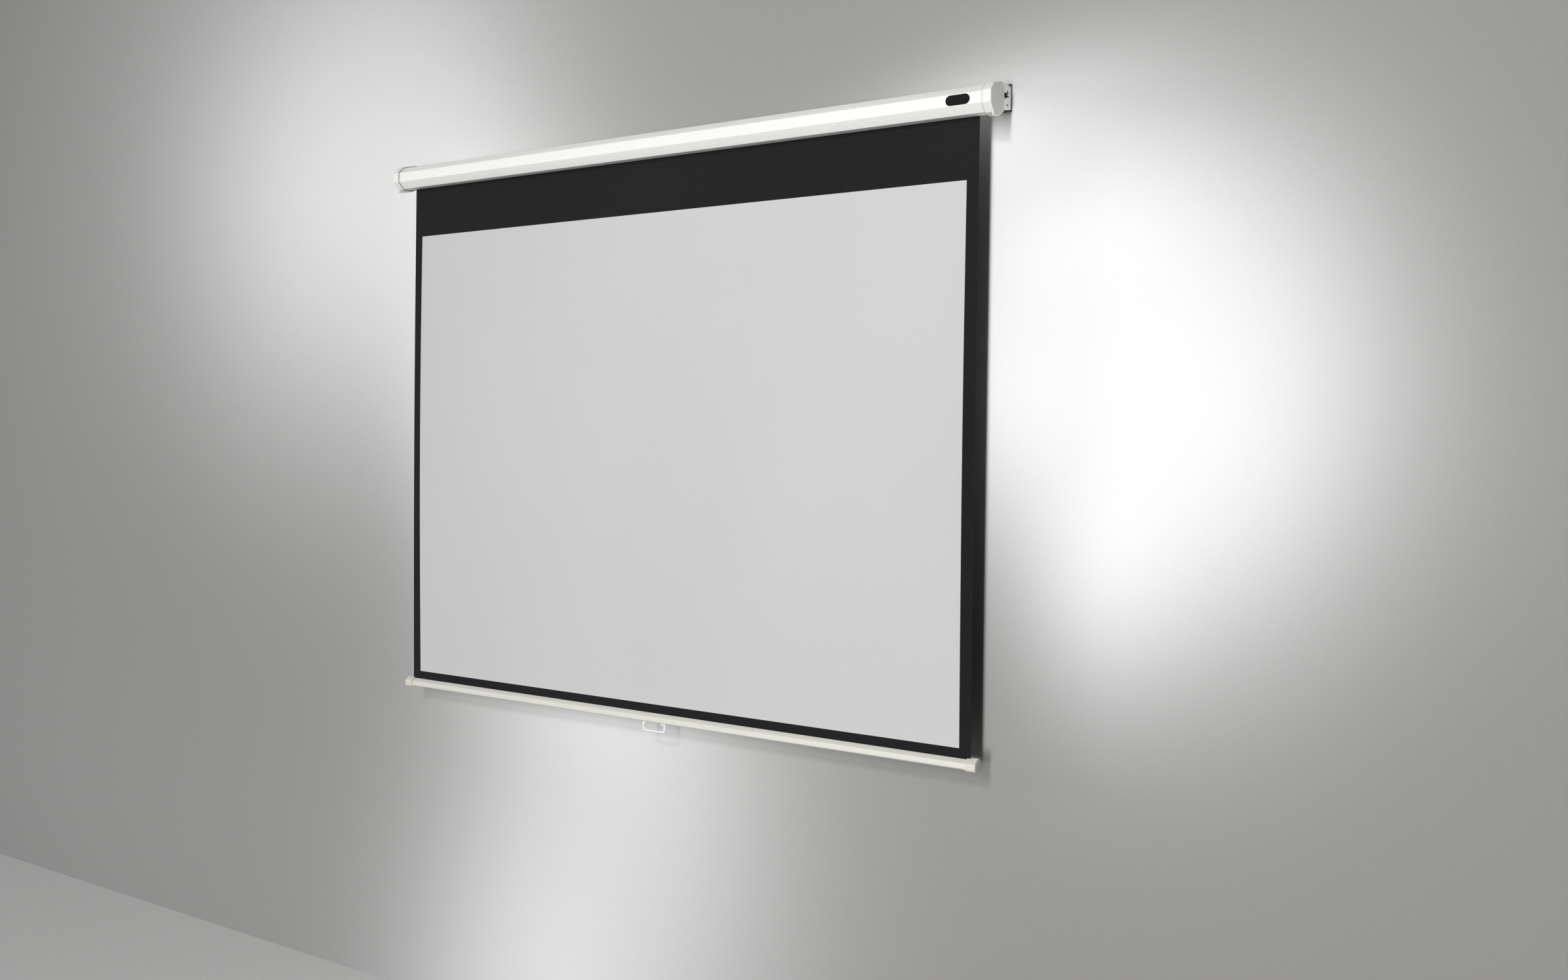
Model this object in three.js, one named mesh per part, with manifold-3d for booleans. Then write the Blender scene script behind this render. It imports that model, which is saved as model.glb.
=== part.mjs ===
// Pull-down projector screen on two wall brackets, drawn fully down.
// Millimetres. +X is the viewer's right, -Y faces the room and +Z is up. The origin lies on the
// wall, midway between the brackets and level with the roller's axis.

import * as THREE from "three";
import { mergeVertices } from "three/addons/utils/BufferGeometryUtils.js";
import Module from "manifold-3d";

const wasm = await Module();
wasm.setup();

// Fabric: a white field in a black border, under a black drop.
const whiteWidth = 1800;
const whiteHeight = 1350;
const sideBorder = 30;
const blackDrop = 147;
const bottomBorder = 23.5;
const fabricThickness = 0.5;
const bellyDepth = 11;
const edgeCurl = 7;
const curlBand = 90;
const fabricStandoff = 100;

// Running and seating clearances.
const seatGap = 0.3;
const pivotGap = 0.45;
const cutOverrun = 4;
const weldDistance = 0.0003;

// Corners: how straight a turn stays unrounded, and how much of an edge a rounding may take.
const gentleTurn = THREE.MathUtils.degToRad(150);
const edgeShare = 0.45;

// Case: a folded octagon with a slot under its rear lower edge.
const caseAcross = 64.5;
const caseWall = 0.9;
const caseSideLap = 39.2;
const slotHalf = 4.6;
const lipHeight = 4.5;

// Roller with the fabric that stays on it.
const rollerRadius = 14.2;
const rollerWall = 1.1;
const wrapThickness = 0.84;
const rollerSideLap = 18;
const plugFlange = 2;
const plugLength = 34;
const cartridgeLength = 46;
const idlerPinRadius = 3;
const idlerPinSink = 16;

// Spring motor on its fixed arbor.
const arborRadius = 4;
const arborFlatHalf = 2.5;
const arborTongue = 18;
const springWireRadius = 0.9;
const springMeanRadius = 7.6;
const springPitch = 4;
const springTurns = 24;
const springHubRadius = 10.6;
const springHubLength = 9;
const supportBushLength = 11;

// End blocks inside the case.
const blockLength = 12;
const blockFit = 0.35;
const blockSlotRelief = 2;

// Moulded end caps: a skirt over the case's end, and an end plate whose chin hangs below it.
const capSkin = 2.2;
const capOverlap = 15.7;
const capHeadRoom = 2.3;
const capEdge = 1.4;
const capCorner = 5;
const chinThickness = 3.6;
const chinDrop = 43;
const chinReach = 17;
const heelReach = 21;
const capRear = 53;
const rearFoot = 18;
const shoulderRise = 40;
const crestRise = 49.5;
const crestReach = 38;

// Hanger plates, folded from the case ends back to the wall brackets.
const plateThickness = 2;
const neckTop = 31;
const neckFoot = 13.5;
const neckStart = 12;
const flagTop = 52;
const flagPeak = 54;
const flagFoot = 14;
const flagToe = 0.5;
const flagCorner = 3;
const flagClearance = 0.6;
const flagWallGap = 4;
const pilotHalfLength = 4.6;
const pilotHalfHeight = 2.1;
const pilotInset = 30;
const pilotHigh = 37;
const pilotLow = 5.5;

// Wall brackets.
const bracketThickness = 2.5;
const baseWidth = 44;
const baseTop = 62.5;
const baseFoot = 3.5;
const baseLip = 2.7;
const webTop = 47;
const webToeDrop = 15.2;
const webHeelDrop = 2.7;
const webReach = 58;
const earTop = 61;
const earReach = 11;
const wallHoleRadius = 3.25;
const wallHoleInset = 9;

// Fasteners.
const boltRadius = 3;
const boltHeadRadius = 5.8;
const boltHeadHeight = 4;
const boltTail = 2;
const boltRise = 25;
const boltInset = 44;
const washerRadius = 6.6;
const washerThickness = 1.5;
const nutThickness = 4.8;
const screwRadius = 1.7;
const screwHeadRadius = 3.3;
const screwHeadHeight = 1.7;
const screwLength = 11;
const capScrewLength = 14;
const capScrewHeadHeight = 2.2;
const capScrewInset = 6.5;
const capScrewPlace = 4;
const plateScrewSpread = 17;
const plateScrewLift = 3;

// Weight bar with the hem inside it.
const barHeight = 23.5;
const barFront = 16;
const barRear = 14;
const barWall = 1.3;
const barCrownHalf = 4.2;
const barRidgeDrop = 8.5;
const barSideLap = 5.7;
const barSlotHalf = 2.4;
const barCorner = 3;
const hemRodRadius = 3.5;
const hemThickness = 0.8;
const hemInset = 1.5;
const barCapSkin = 3;
const barCapOverlap = 13.7;
const barCapEndWall = 12;
const barCapEdge = 1.2;
const notchMargin = 2;

// Pull handle under the bar.
const wireRadius = 2.75;
const handleHalfWidth = 36;
const handleDrop = 22.5;
const handleCorner = 8;
const pivotBend = 4.4;
const lugDrop = 4.5;
const lugRadius = 4.6;
const lugEdge = 1;
const lugWidth = 6;
const lugSetIn = 0.5;
const stemRadius = 2.6;
const stemHeadRadius = 3.6;
const stemHeadHeight = 1.5;

// Travel.
const liftGap = 6;

// Counts.
const roundSides = 24;
const smallSides = 12;
const wireSides = 8;
const hexSides = 6;
const springSides = 5;
const springSteps = 8;
const cornerSteps = 3;
const bevelSteps = 2;
const heelSteps = 10;
const lugSteps = 8;
const handleSteps = 56;
const sheetRows = 18;
const sheetFlatColumns = 6;
const sheetCurlColumns = 4;

// Places that follow from the sizes above.
const caseHalf = caseAcross / 2;
const fabricHalfWidth = whiteWidth / 2 + sideBorder;
const wrapRadius = rollerRadius + seatGap + wrapThickness;
const axisToFabric = wrapRadius + seatGap + fabricThickness / 2;
const fabricY = -fabricStandoff;
const axisY = fabricY - axisToFabric;
const caseEndX = fabricHalfWidth + caseSideLap;
const plateX = caseEndX + seatGap;
const plateOuterX = plateX + plateThickness;
const capPocketX = plateOuterX + capHeadRoom;
const capFaceX = capPocketX + capSkin;
const capRimX = caseEndX - capOverlap;
const capFront = caseHalf + seatGap + capSkin;
const rollerEndX = fabricHalfWidth + rollerSideLap;
const plugFaceX = rollerEndX + seatGap + plugFlange;
const tubeBore = rollerRadius - rollerWall;
const blockX = caseEndX - blockLength;
const barTop = -(caseHalf + blackDrop + whiteHeight + bottomBorder);
const barBottom = barTop - barHeight;
const barEndX = fabricHalfWidth + barSideLap;
const barCapRimX = barEndX - barCapOverlap;
const barCapFaceX = barEndX + seatGap + barCapEndWall;
const hemRadius = hemRodRadius + seatGap + hemThickness;
const hemRise = Math.sqrt(hemRadius * hemRadius - barSlotHalf * barSlotHalf);
const hemZ = barTop - barWall - seatGap - hemRise;
const hemHalfLength = fabricHalfWidth - hemInset;
const pivotZ = barBottom - lugDrop;
const wallToAxis = -axisY;
const boltY = wallToAxis - boltInset;
const pilotY = -pilotInset;
const travel = -barTop - barCapSkin - liftGap - caseHalf;

const alongX = new THREE.Matrix4().makeBasis(
  new THREE.Vector3(0, 1, 0),
  new THREE.Vector3(0, 0, 1),
  new THREE.Vector3(1, 0, 0)
);

// Outlines are lists of [y, z] points, counterclockwise.
function octagon(half) {
  const side = half * Math.tan(Math.PI / 8);
  return [
    [-side, -half], [side, -half], [half, -side], [half, side],
    [side, half], [-side, half], [-half, side], [-half, -side]
  ];
}

function moved(points, dy, dz) {
  return points.map(([y, z]) => [y + dy, z + dz]);
}

// Moves every edge of a convex outline outwards by one distance.
function grown(points, distance) {
  const count = points.length;
  const edges = points.map(([y, z], i) => {
    const [yNext, zNext] = points[(i + 1) % count];
    const length = Math.hypot(yNext - y, zNext - z);
    const ny = (zNext - z) / length;
    const nz = (y - yNext) / length;
    return { ny, nz, reach: ny * y + nz * z + distance };
  });
  return edges.map((edge, i) => {
    const last = edges[(i + count - 1) % count];
    const turn = last.ny * edge.nz - last.nz * edge.ny;
    return [
      (last.reach * edge.nz - edge.reach * last.nz) / turn,
      (edge.reach * last.ny - last.reach * edge.ny) / turn
    ];
  });
}

function sharpShape(points) {
  return new THREE.Shape(points.map(([y, z]) => new THREE.Vector2(y, z)));
}

// The same outline with its sharp corners rounded, as far as its edges allow.
function roundedShape(points, radius) {
  const shape = new THREE.Shape();
  const count = points.length;
  points.forEach((point, i) => {
    const corner = new THREE.Vector2(...point);
    const before = new THREE.Vector2(...points[(i + count - 1) % count]).sub(corner);
    const after = new THREE.Vector2(...points[(i + 1) % count]).sub(corner);
    const sharp = before.angleTo(after) < gentleTurn;
    const room = edgeShare * Math.min(before.length(), after.length());
    const reach = sharp ? Math.min(radius, room) : 0;
    const start = corner.clone().add(before.setLength(reach));
    const end = corner.clone().add(after.setLength(reach));
    if (i === 0) {
      shape.moveTo(start.x, start.y);
    } else {
      shape.lineTo(start.x, start.y);
    }
    if (sharp) {
      shape.quadraticCurveTo(corner.x, corner.y, end.x, end.y);
    }
  });
  shape.closePath();
  return shape;
}

function circlePath(y, z, radius, sides) {
  const points = [];
  for (let i = 0; i < sides; i += 1) {
    const angle = (2 * Math.PI * i) / sides;
    points.push([y + radius * Math.cos(angle), z + radius * Math.sin(angle)]);
  }
  return points;
}

// A shape drawn in Y and Z, run along X from one place to another.
function runAlongX(shape, fromX, toX, edge = 0) {
  const start = Math.min(fromX, toX);
  const length = Math.abs(toX - fromX);
  const geometry = new THREE.ExtrudeGeometry(shape, {
    depth: length - 2 * edge,
    steps: 1,
    curveSegments: cornerSteps,
    bevelEnabled: edge > 0,
    bevelThickness: edge,
    bevelSize: edge,
    bevelOffset: -edge,
    bevelSegments: bevelSteps
  });
  geometry.translate(0, 0, start + edge);
  return geometry.applyMatrix4(alongX);
}

// A closed profile of [radius, along] points, turned about X at a given Y and Z.
function turnAboutX(profile, y, z, sides) {
  const points = profile.map(([radius, along]) => new THREE.Vector2(radius, along));
  const geometry = new THREE.LatheGeometry(points, sides);
  geometry.rotateZ(-Math.PI / 2);
  return geometry.translate(0, y, z);
}

function ringAboutX(inner, outer, fromX, toX, y, z, sides) {
  const low = Math.min(fromX, toX);
  const high = Math.max(fromX, toX);
  return turnAboutX([[inner, low], [outer, low], [outer, high], [inner, high], [inner, low]], y, z, sides);
}

function rodAboutX(radius, fromX, toX, y, z, sides) {
  const low = Math.min(fromX, toX);
  const high = Math.max(fromX, toX);
  return turnAboutX([[0, low], [radius, low], [radius, high], [0, high]], y, z, sides);
}

function rodAboutZ(radius, fromZ, toZ, x, y, sides) {
  const points = [[0, fromZ], [radius, fromZ], [radius, toZ], [0, toZ]];
  const geometry = new THREE.LatheGeometry(points.map(([r, z]) => new THREE.Vector2(r, z)), sides);
  geometry.rotateX(Math.PI / 2);
  return geometry.translate(x, y, 0);
}

function rodAboutY(radius, fromY, toY, x, z, sides) {
  const points = [[0, fromY], [radius, fromY], [radius, toY], [0, toY]];
  const geometry = new THREE.LatheGeometry(points.map(([r, y]) => new THREE.Vector2(r, y)), sides);
  return geometry.translate(x, 0, z);
}

function block(fromX, toX, fromY, toY, fromZ, toZ) {
  const geometry = new THREE.BoxGeometry(Math.abs(toX - fromX), toY - fromY, toZ - fromZ);
  return geometry.translate((fromX + toX) / 2, (fromY + toY) / 2, (fromZ + toZ) / 2);
}

function solid(geometry) {
  const bare = geometry.clone();
  bare.deleteAttribute("normal");
  bare.deleteAttribute("uv");
  const merged = mergeVertices(bare, weldDistance);
  return new wasm.Manifold(new wasm.Mesh({
    numProp: 3,
    vertProperties: new Float32Array(merged.attributes.position.array),
    triVerts: new Uint32Array(merged.index.array)
  }));
}

function surface(manifold) {
  const mesh = manifold.getMesh();
  const geometry = new THREE.BufferGeometry();
  geometry.setAttribute("position", new THREE.BufferAttribute(mesh.vertProperties, 3));
  geometry.setIndex(new THREE.BufferAttribute(mesh.triVerts, 1));
  return geometry;
}

function joined(...geometries) {
  return surface(geometries.map(solid).reduce((whole, next) => whole.add(next)));
}

function cut(geometry, ...tools) {
  return surface(tools.map(solid).reduce((whole, tool) => whole.subtract(tool), solid(geometry)));
}

const finishes = {
  caseWhite: { color: 0xf4f3ee, roughness: 0.55, metalness: 0.1 },
  capWhite: { color: 0xeceae2, roughness: 0.5, metalness: 0 },
  zincSteel: { color: 0xb9bbb8, roughness: 0.4, metalness: 0.85 },
  darkSteel: { color: 0x55565a, roughness: 0.45, metalness: 0.8 },
  blackSteel: { color: 0x222224, roughness: 0.5, metalness: 0.3 },
  tubeSteel: { color: 0xa9abad, roughness: 0.35, metalness: 0.9 },
  nylon: { color: 0x2b2c2e, roughness: 0.6, metalness: 0 },
  blackFabric: { color: 0x1c1c1e, roughness: 0.85, metalness: 0 },
  screenFabric: { color: 0xdcdcdc, roughness: 0.9, metalness: 0 },
  barWhite: { color: 0xefece2, roughness: 0.45, metalness: 0.1 },
  handleWhite: { color: 0xf6f5f0, roughness: 0.35, metalness: 0 }
};

const screen = new THREE.Group();

function add(name, geometry, finish) {
  const mesh = new THREE.Mesh(geometry, new THREE.MeshStandardMaterial(finishes[finish]));
  mesh.name = name;
  screen.add(mesh);
}

const sides = [{ name: "left", sign: -1 }, { name: "right", sign: 1 }];

// The case is one folded sheet: round the octagon from lip to lip of the slot.
function caseShell() {
  const inner = caseHalf - caseWall;
  const outerSide = caseHalf * Math.tan(Math.PI / 8);
  const frontLip = axisToFabric - slotHalf;
  const rearLip = axisToFabric + slotHalf;
  const outerRearZ = rearLip - outerSide - caseHalf;
  const diagonalWall = caseWall * Math.SQRT2;
  const outer = octagon(caseHalf);
  const inside = octagon(inner);
  const section = [
    [frontLip, -caseHalf],
    [frontLip, lipHeight - caseHalf],
    [frontLip - caseWall, lipHeight - caseHalf],
    [frontLip - caseWall, -inner],
    inside[0], inside[7], inside[6], inside[5], inside[4], inside[3], inside[2],
    [rearLip + caseWall, outerRearZ + diagonalWall + caseWall],
    [rearLip + caseWall, outerRearZ + lipHeight + caseWall],
    [rearLip, outerRearZ + lipHeight + caseWall],
    [rearLip, outerRearZ],
    outer[2], outer[3], outer[4], outer[5], outer[6], outer[7], outer[0]
  ];
  const shell = runAlongX(sharpShape(moved(section, axisY, 0)), -caseEndX, caseEndX);
  const holes = [];
  sides.forEach(({ sign }) => {
    holes.push(rodAboutZ(
      screwRadius + seatGap, -caseHalf - cutOverrun, -inner + cutOverrun / 2,
      capScrewX(sign), axisY + capScrewPlace, smallSides
    ));
  });
  return cut(shell, ...holes);
}

function skirtOutline() {
  const side = capFront * Math.tan(Math.PI / 8);
  return [
    [-side, -capFront], [heelReach, -capFront], [capRear, -rearFoot],
    [capRear, shoulderRise], [crestReach, crestRise], [-side, capFront],
    [-capFront, side], [-capFront, -side]
  ];
}

// The end plate follows the skirt and adds the chin.
function endPlateOutline() {
  const [corner, ...others] = skirtOutline();
  return [corner, [-chinReach, -chinDrop], ...others];
}

// The neck passes through the cap's rear wall and carries the flag that bolts to the bracket.
function neckOutline(grow) {
  return [
    [neckStart, -neckFoot - grow], [capRear + cutOverrun, -neckFoot - grow],
    [capRear + cutOverrun, neckTop + grow], [neckStart, neckTop + grow]
  ];
}

function flagOutline() {
  const start = capRear + flagClearance;
  const end = wallToAxis - bracketThickness - flagWallGap;
  return [[start, -flagFoot], [end, -flagToe], [end, flagPeak], [start, flagTop]];
}

function screwLine(y, z, radius, fromX, toX) {
  return rodAboutX(radius, fromX, toX, axisY + y, z, smallSides);
}

function arborFlats(geometry, fromX, toX, radius, flatHalf) {
  const reach = radius + cutOverrun;
  return cut(
    geometry,
    block(fromX, toX, axisY - reach, axisY + reach, flatHalf, reach),
    block(fromX, toX, axisY - reach, axisY + reach, -reach, -flatHalf)
  );
}

function plateScrewPlaces() {
  return { upper: [0, plateScrewSpread + plateScrewLift], lower: [0, plateScrewLift - plateScrewSpread] };
}

function capScrewX(sign) {
  return sign * (caseEndX - capScrewInset);
}

function endCap(sign) {
  const face = sign * capFaceX;
  const plateBack = sign * (capFaceX - chinThickness);
  const past = sign * (capRimX - cutOverrun);
  const skirt = roundedShape(moved(skirtOutline(), axisY, 0), capCorner);
  const endPlate = roundedShape(moved(endPlateOutline(), axisY, 0), capCorner);
  const body = joined(
    runAlongX(skirt, sign * capRimX, (face + plateBack) / 2),
    runAlongX(endPlate, plateBack, face, capEdge)
  );
  const inOctagon = (half) => sharpShape(moved(octagon(half), axisY, 0));
  const neck = sharpShape(moved(neckOutline(seatGap), axisY, 0));
  const headRoomHalf = caseHalf - capSkin;
  return cut(
    body,
    runAlongX(inOctagon(caseHalf + seatGap), past, sign * (caseEndX + seatGap)),
    runAlongX(inOctagon(caseHalf + seatGap), past, sign * (plateOuterX + seatGap)),
    runAlongX(neck, past, sign * (plateOuterX + seatGap)),
    runAlongX(inOctagon(headRoomHalf), past, sign * capPocketX),
    rodAboutZ(
      screwRadius + seatGap, -capFront - cutOverrun, -caseHalf + cutOverrun,
      capScrewX(sign), axisY + capScrewPlace, smallSides
    )
  );
}

function hangerPlate(sign) {
  const from = sign * plateX;
  const to = sign * plateOuterX;
  const past = sign * (plateX - cutOverrun);
  const beyond = sign * (plateOuterX + cutOverrun);
  const body = joined(
    runAlongX(sharpShape(moved(octagon(caseHalf), axisY, 0)), from, to),
    runAlongX(sharpShape(moved(neckOutline(0), axisY, 0)), from, to),
    runAlongX(roundedShape(moved(flagOutline(), axisY, 0), flagCorner), from, to)
  );
  const places = plateScrewPlaces();
  const pilotSlot = (z) => runAlongX(roundedShape([
    [pilotY - pilotHalfLength, z - pilotHalfHeight], [pilotY + pilotHalfLength, z - pilotHalfHeight],
    [pilotY + pilotHalfLength, z + pilotHalfHeight], [pilotY - pilotHalfLength, z + pilotHalfHeight]
  ], pilotHalfHeight), past, beyond);
  const tongueHole = arborFlats(
    rodAboutX(arborRadius + seatGap, past, beyond, axisY, 0, roundSides),
    sign * (plateX - 2 * cutOverrun), sign * (plateOuterX + 2 * cutOverrun),
    arborRadius, arborFlatHalf + seatGap
  );
  return cut(
    body,
    tongueHole,
    screwLine(...places.upper, screwRadius + seatGap, past, beyond),
    screwLine(...places.lower, screwRadius + seatGap, past, beyond),
    screwLine(boltY, boltRise, boltRadius + seatGap, past, beyond),
    pilotSlot(pilotHigh),
    pilotSlot(pilotLow)
  );
}

// A base plate on the wall with a web that stands along the hanger plate and has an ear above it.
function wallBracket(sign) {
  const webOuter = sign * (plateX - seatGap);
  const webInner = sign * (plateX - seatGap - bracketThickness);
  const baseOuter = sign * (plateX - seatGap + baseLip);
  const baseInner = sign * (plateX - seatGap + baseLip - baseWidth);
  const baseMiddle = (sign * (plateX - seatGap - bracketThickness) + baseInner) / 2;
  const web = [
    [wallToAxis - webReach, -webToeDrop], [wallToAxis, -webHeelDrop],
    [wallToAxis, earTop], [wallToAxis - earReach, earTop],
    [wallToAxis - earReach, webTop], [wallToAxis - webReach, webTop]
  ];
  const body = joined(
    runAlongX(sharpShape(moved(web, axisY, 0)), webInner, webOuter),
    block(baseInner, baseOuter, -bracketThickness, 0, -baseFoot, baseTop)
  );
  return cut(
    body,
    screwLine(
      boltY, boltRise, boltRadius + seatGap,
      webInner - sign * cutOverrun, webOuter + sign * cutOverrun
    ),
    rodAboutY(
      wallHoleRadius, -bracketThickness - cutOverrun, cutOverrun,
      baseMiddle, baseTop - wallHoleInset, smallSides
    ),
    rodAboutY(
      wallHoleRadius, -bracketThickness - cutOverrun, cutOverrun,
      baseMiddle, wallHoleInset - baseFoot, smallSides
    )
  );
}

// The bolt's head lies against the web and its tail stands out past the nut.
function bracketBolt(sign) {
  const seat = sign * (plateX - 2 * seatGap - bracketThickness);
  const tail = sign * (nutOuterX() + boltTail);
  const back = seat - sign * boltHeadHeight;
  const head = rodAboutX(boltHeadRadius, seat, back, axisY + boltY, boltRise, hexSides);
  return joined(head, screwLine(boltY, boltRise, boltRadius, seat - sign * seatGap, tail));
}

function washerOuterX() {
  return plateOuterX + seatGap + washerThickness;
}

function nutOuterX() {
  return washerOuterX() + seatGap + nutThickness;
}

function bracketWasher(sign) {
  const from = sign * (plateOuterX + seatGap);
  const bore = boltRadius + seatGap;
  return ringAboutX(bore, washerRadius, from, sign * washerOuterX(), axisY + boltY, boltRise, roundSides);
}

function bracketNut(sign) {
  const from = sign * (washerOuterX() + seatGap);
  const to = sign * nutOuterX();
  const body = rodAboutX(boltHeadRadius, from, to, axisY + boltY, boltRise, hexSides);
  return cut(body, screwLine(
    boltY, boltRise, boltRadius + seatGap, from - sign * cutOverrun, to + sign * cutOverrun
  ));
}

function capScrew(sign) {
  const seat = -capFront - seatGap;
  const x = capScrewX(sign);
  return joined(
    rodAboutZ(screwHeadRadius, seat - capScrewHeadHeight, seat, x, axisY + capScrewPlace, smallSides),
    rodAboutZ(screwRadius, seat - seatGap, seat + capScrewLength, x, axisY + capScrewPlace, smallSides)
  );
}

function plateScrew(sign, place) {
  const seat = sign * (plateOuterX + seatGap);
  return joined(
    screwLine(...place, screwHeadRadius, seat, seat + sign * screwHeadHeight),
    screwLine(...place, screwRadius, seat - sign * screwLength, seat + sign * seatGap)
  );
}

// A moulded block that fills the case end, carries the roller and takes the screws.
function endBlock(sign) {
  const from = sign * blockX;
  const to = sign * caseEndX;
  const past = from - sign * cutOverrun;
  const beyond = to + sign * cutOverrun;
  const half = caseHalf - caseWall - blockFit;
  const reliefFront = axisToFabric - slotHalf - caseWall - blockSlotRelief;
  const reliefRear = axisToFabric + slotHalf + caseWall + blockSlotRelief;
  const reliefTop = lipHeight + blockSlotRelief - caseHalf;
  const rearRise = 2 * slotHalf;
  const places = plateScrewPlaces();
  const bore = sign < 0
    ? arborFlats(
      rodAboutX(arborRadius + seatGap, past, beyond, axisY, 0, roundSides),
      past - sign * cutOverrun, beyond + sign * cutOverrun, arborRadius, arborFlatHalf + seatGap
    )
    : rodAboutX(idlerPinRadius + seatGap, past, beyond, axisY, 0, roundSides);
  const cutX = [Math.min(past, beyond), Math.max(past, beyond)];
  return cut(
    runAlongX(sharpShape(moved(octagon(half), axisY, 0)), from, to),
    bore,
    block(...cutX, axisY + reliefFront, axisY + reliefRear, -caseHalf, reliefTop),
    block(
      ...cutX, axisY + axisToFabric, axisY + caseHalf,
      -caseHalf, reliefTop + rearRise
    ),
    screwLine(...places.upper, screwRadius + seatGap, past, beyond),
    screwLine(...places.lower, screwRadius + seatGap, past, beyond),
    rodAboutZ(
      screwRadius + seatGap, -caseHalf, capScrewLength - capFront,
      capScrewX(sign), axisY + capScrewPlace, smallSides
    )
  );
}

// The fixed arbor: a rod whose flats sit in the left plate, so that it can't turn.
function arborEndX() {
  return -(rollerEndX + seatGap) + cartridgeLength + springLength() + springHubLength
    + supportBushLength + 4 * seatGap;
}

function springLength() {
  return springTurns * springPitch + 2 * springWireRadius;
}

function springArbor() {
  const tip = -(capPocketX - seatGap);
  const rod = rodAboutX(arborRadius, tip, arborEndX() + cutOverrun, axisY, 0, roundSides);
  return arborFlats(rod, tip - cutOverrun, tip + arborTongue, arborRadius, arborFlatHalf);
}

function springStartX() {
  return -(rollerEndX + seatGap) + cartridgeLength + seatGap;
}

class Helix extends THREE.Curve {
  getPoint(share, target = new THREE.Vector3()) {
    const angle = 2 * Math.PI * springTurns * share;
    const x = springStartX() + springWireRadius + springTurns * springPitch * share;
    return target.set(
      x,
      axisY + springMeanRadius * Math.cos(angle),
      springMeanRadius * Math.sin(angle)
    );
  }
}

// The least space between two places on the coil's wire that lie half a turn or more apart.
function springLeastGap() {
  const points = new Helix().getPoints(springTurns * springSteps);
  let least = Infinity;
  points.forEach((point, i) => {
    points.slice(i + springSteps / 2).forEach((other) => {
      least = Math.min(least, point.distanceTo(other));
    });
  });
  return least - 2 * springWireRadius;
}

function torsionSpring() {
  const section = sharpShape(circlePath(0, 0, springWireRadius, springSides));
  return new THREE.ExtrudeGeometry(section, {
    steps: springTurns * springSteps,
    curveSegments: 1,
    extrudePath: new Helix()
  });
}

function springHub() {
  const start = springStartX() + springLength() + seatGap;
  const bore = arborRadius + seatGap;
  return ringAboutX(bore, springHubRadius, start, start + springHubLength, axisY, 0, roundSides);
}

function lockCartridge() {
  const start = -plugFaceX;
  const seat = -(rollerEndX + seatGap);
  const end = seat + cartridgeLength;
  const bore = arborRadius + seatGap;
  const body = tubeBore - seatGap;
  const profile = [
    [bore, start], [rollerRadius, start], [rollerRadius, seat], [body, seat],
    [body, end], [bore, end], [bore, start]
  ];
  return turnAboutX(profile, axisY, 0, roundSides);
}

function supportBush() {
  const start = springStartX() + springLength() + springHubLength + 2 * seatGap;
  return ringAboutX(
    arborRadius + seatGap, tubeBore - seatGap, start, start + supportBushLength, axisY, 0, roundSides
  );
}

function idlerPlug() {
  const seat = rollerEndX + seatGap;
  const start = seat - plugLength;
  const body = tubeBore - seatGap;
  const bore = idlerPinRadius + seatGap;
  const floor = seat - idlerPinSink;
  const profile = [
    [0, start], [body, start], [body, seat], [rollerRadius, seat], [rollerRadius, plugFaceX],
    [bore, plugFaceX], [bore, floor], [0, floor]
  ];
  return turnAboutX(profile, axisY, 0, roundSides);
}

function idlerPin() {
  const start = rollerEndX + seatGap - idlerPinSink + seatGap;
  return rodAboutX(idlerPinRadius, start, caseEndX - seatGap, axisY, 0, roundSides);
}

// How far the hanging fabric stands from its plane: a belly towards the room and edges that curl
// back towards the wall.
function fabricBow(x, z) {
  const hang = -caseHalf - barTop;
  const share = Math.min(Math.max((-caseHalf - z) / hang, 0), 1);
  const into = Math.max(Math.abs(x) - (fabricHalfWidth - curlBand), 0) / curlBand;
  return Math.sin(Math.PI * share) * (edgeCurl * into * into - bellyDepth);
}

function sheetColumns() {
  const columns = [];
  const flat = fabricHalfWidth - curlBand;
  for (let i = 0; i < sheetCurlColumns; i += 1) {
    columns.push(-fabricHalfWidth + (curlBand * i) / sheetCurlColumns);
  }
  for (let i = 0; i <= sheetFlatColumns; i += 1) {
    columns.push(-flat + (2 * flat * i) / sheetFlatColumns);
  }
  for (let i = 1; i <= sheetCurlColumns; i += 1) {
    columns.push(flat + (curlBand * i) / sheetCurlColumns);
  }
  return columns;
}

function sheetHeights() {
  const bottom = hemZ + hemRadius + seatGap;
  const heights = [0, -caseHalf];
  for (let i = 1; i <= sheetRows; i += 1) {
    heights.push(-caseHalf + ((bottom + caseHalf) * i) / sheetRows);
  }
  return heights;
}

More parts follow.
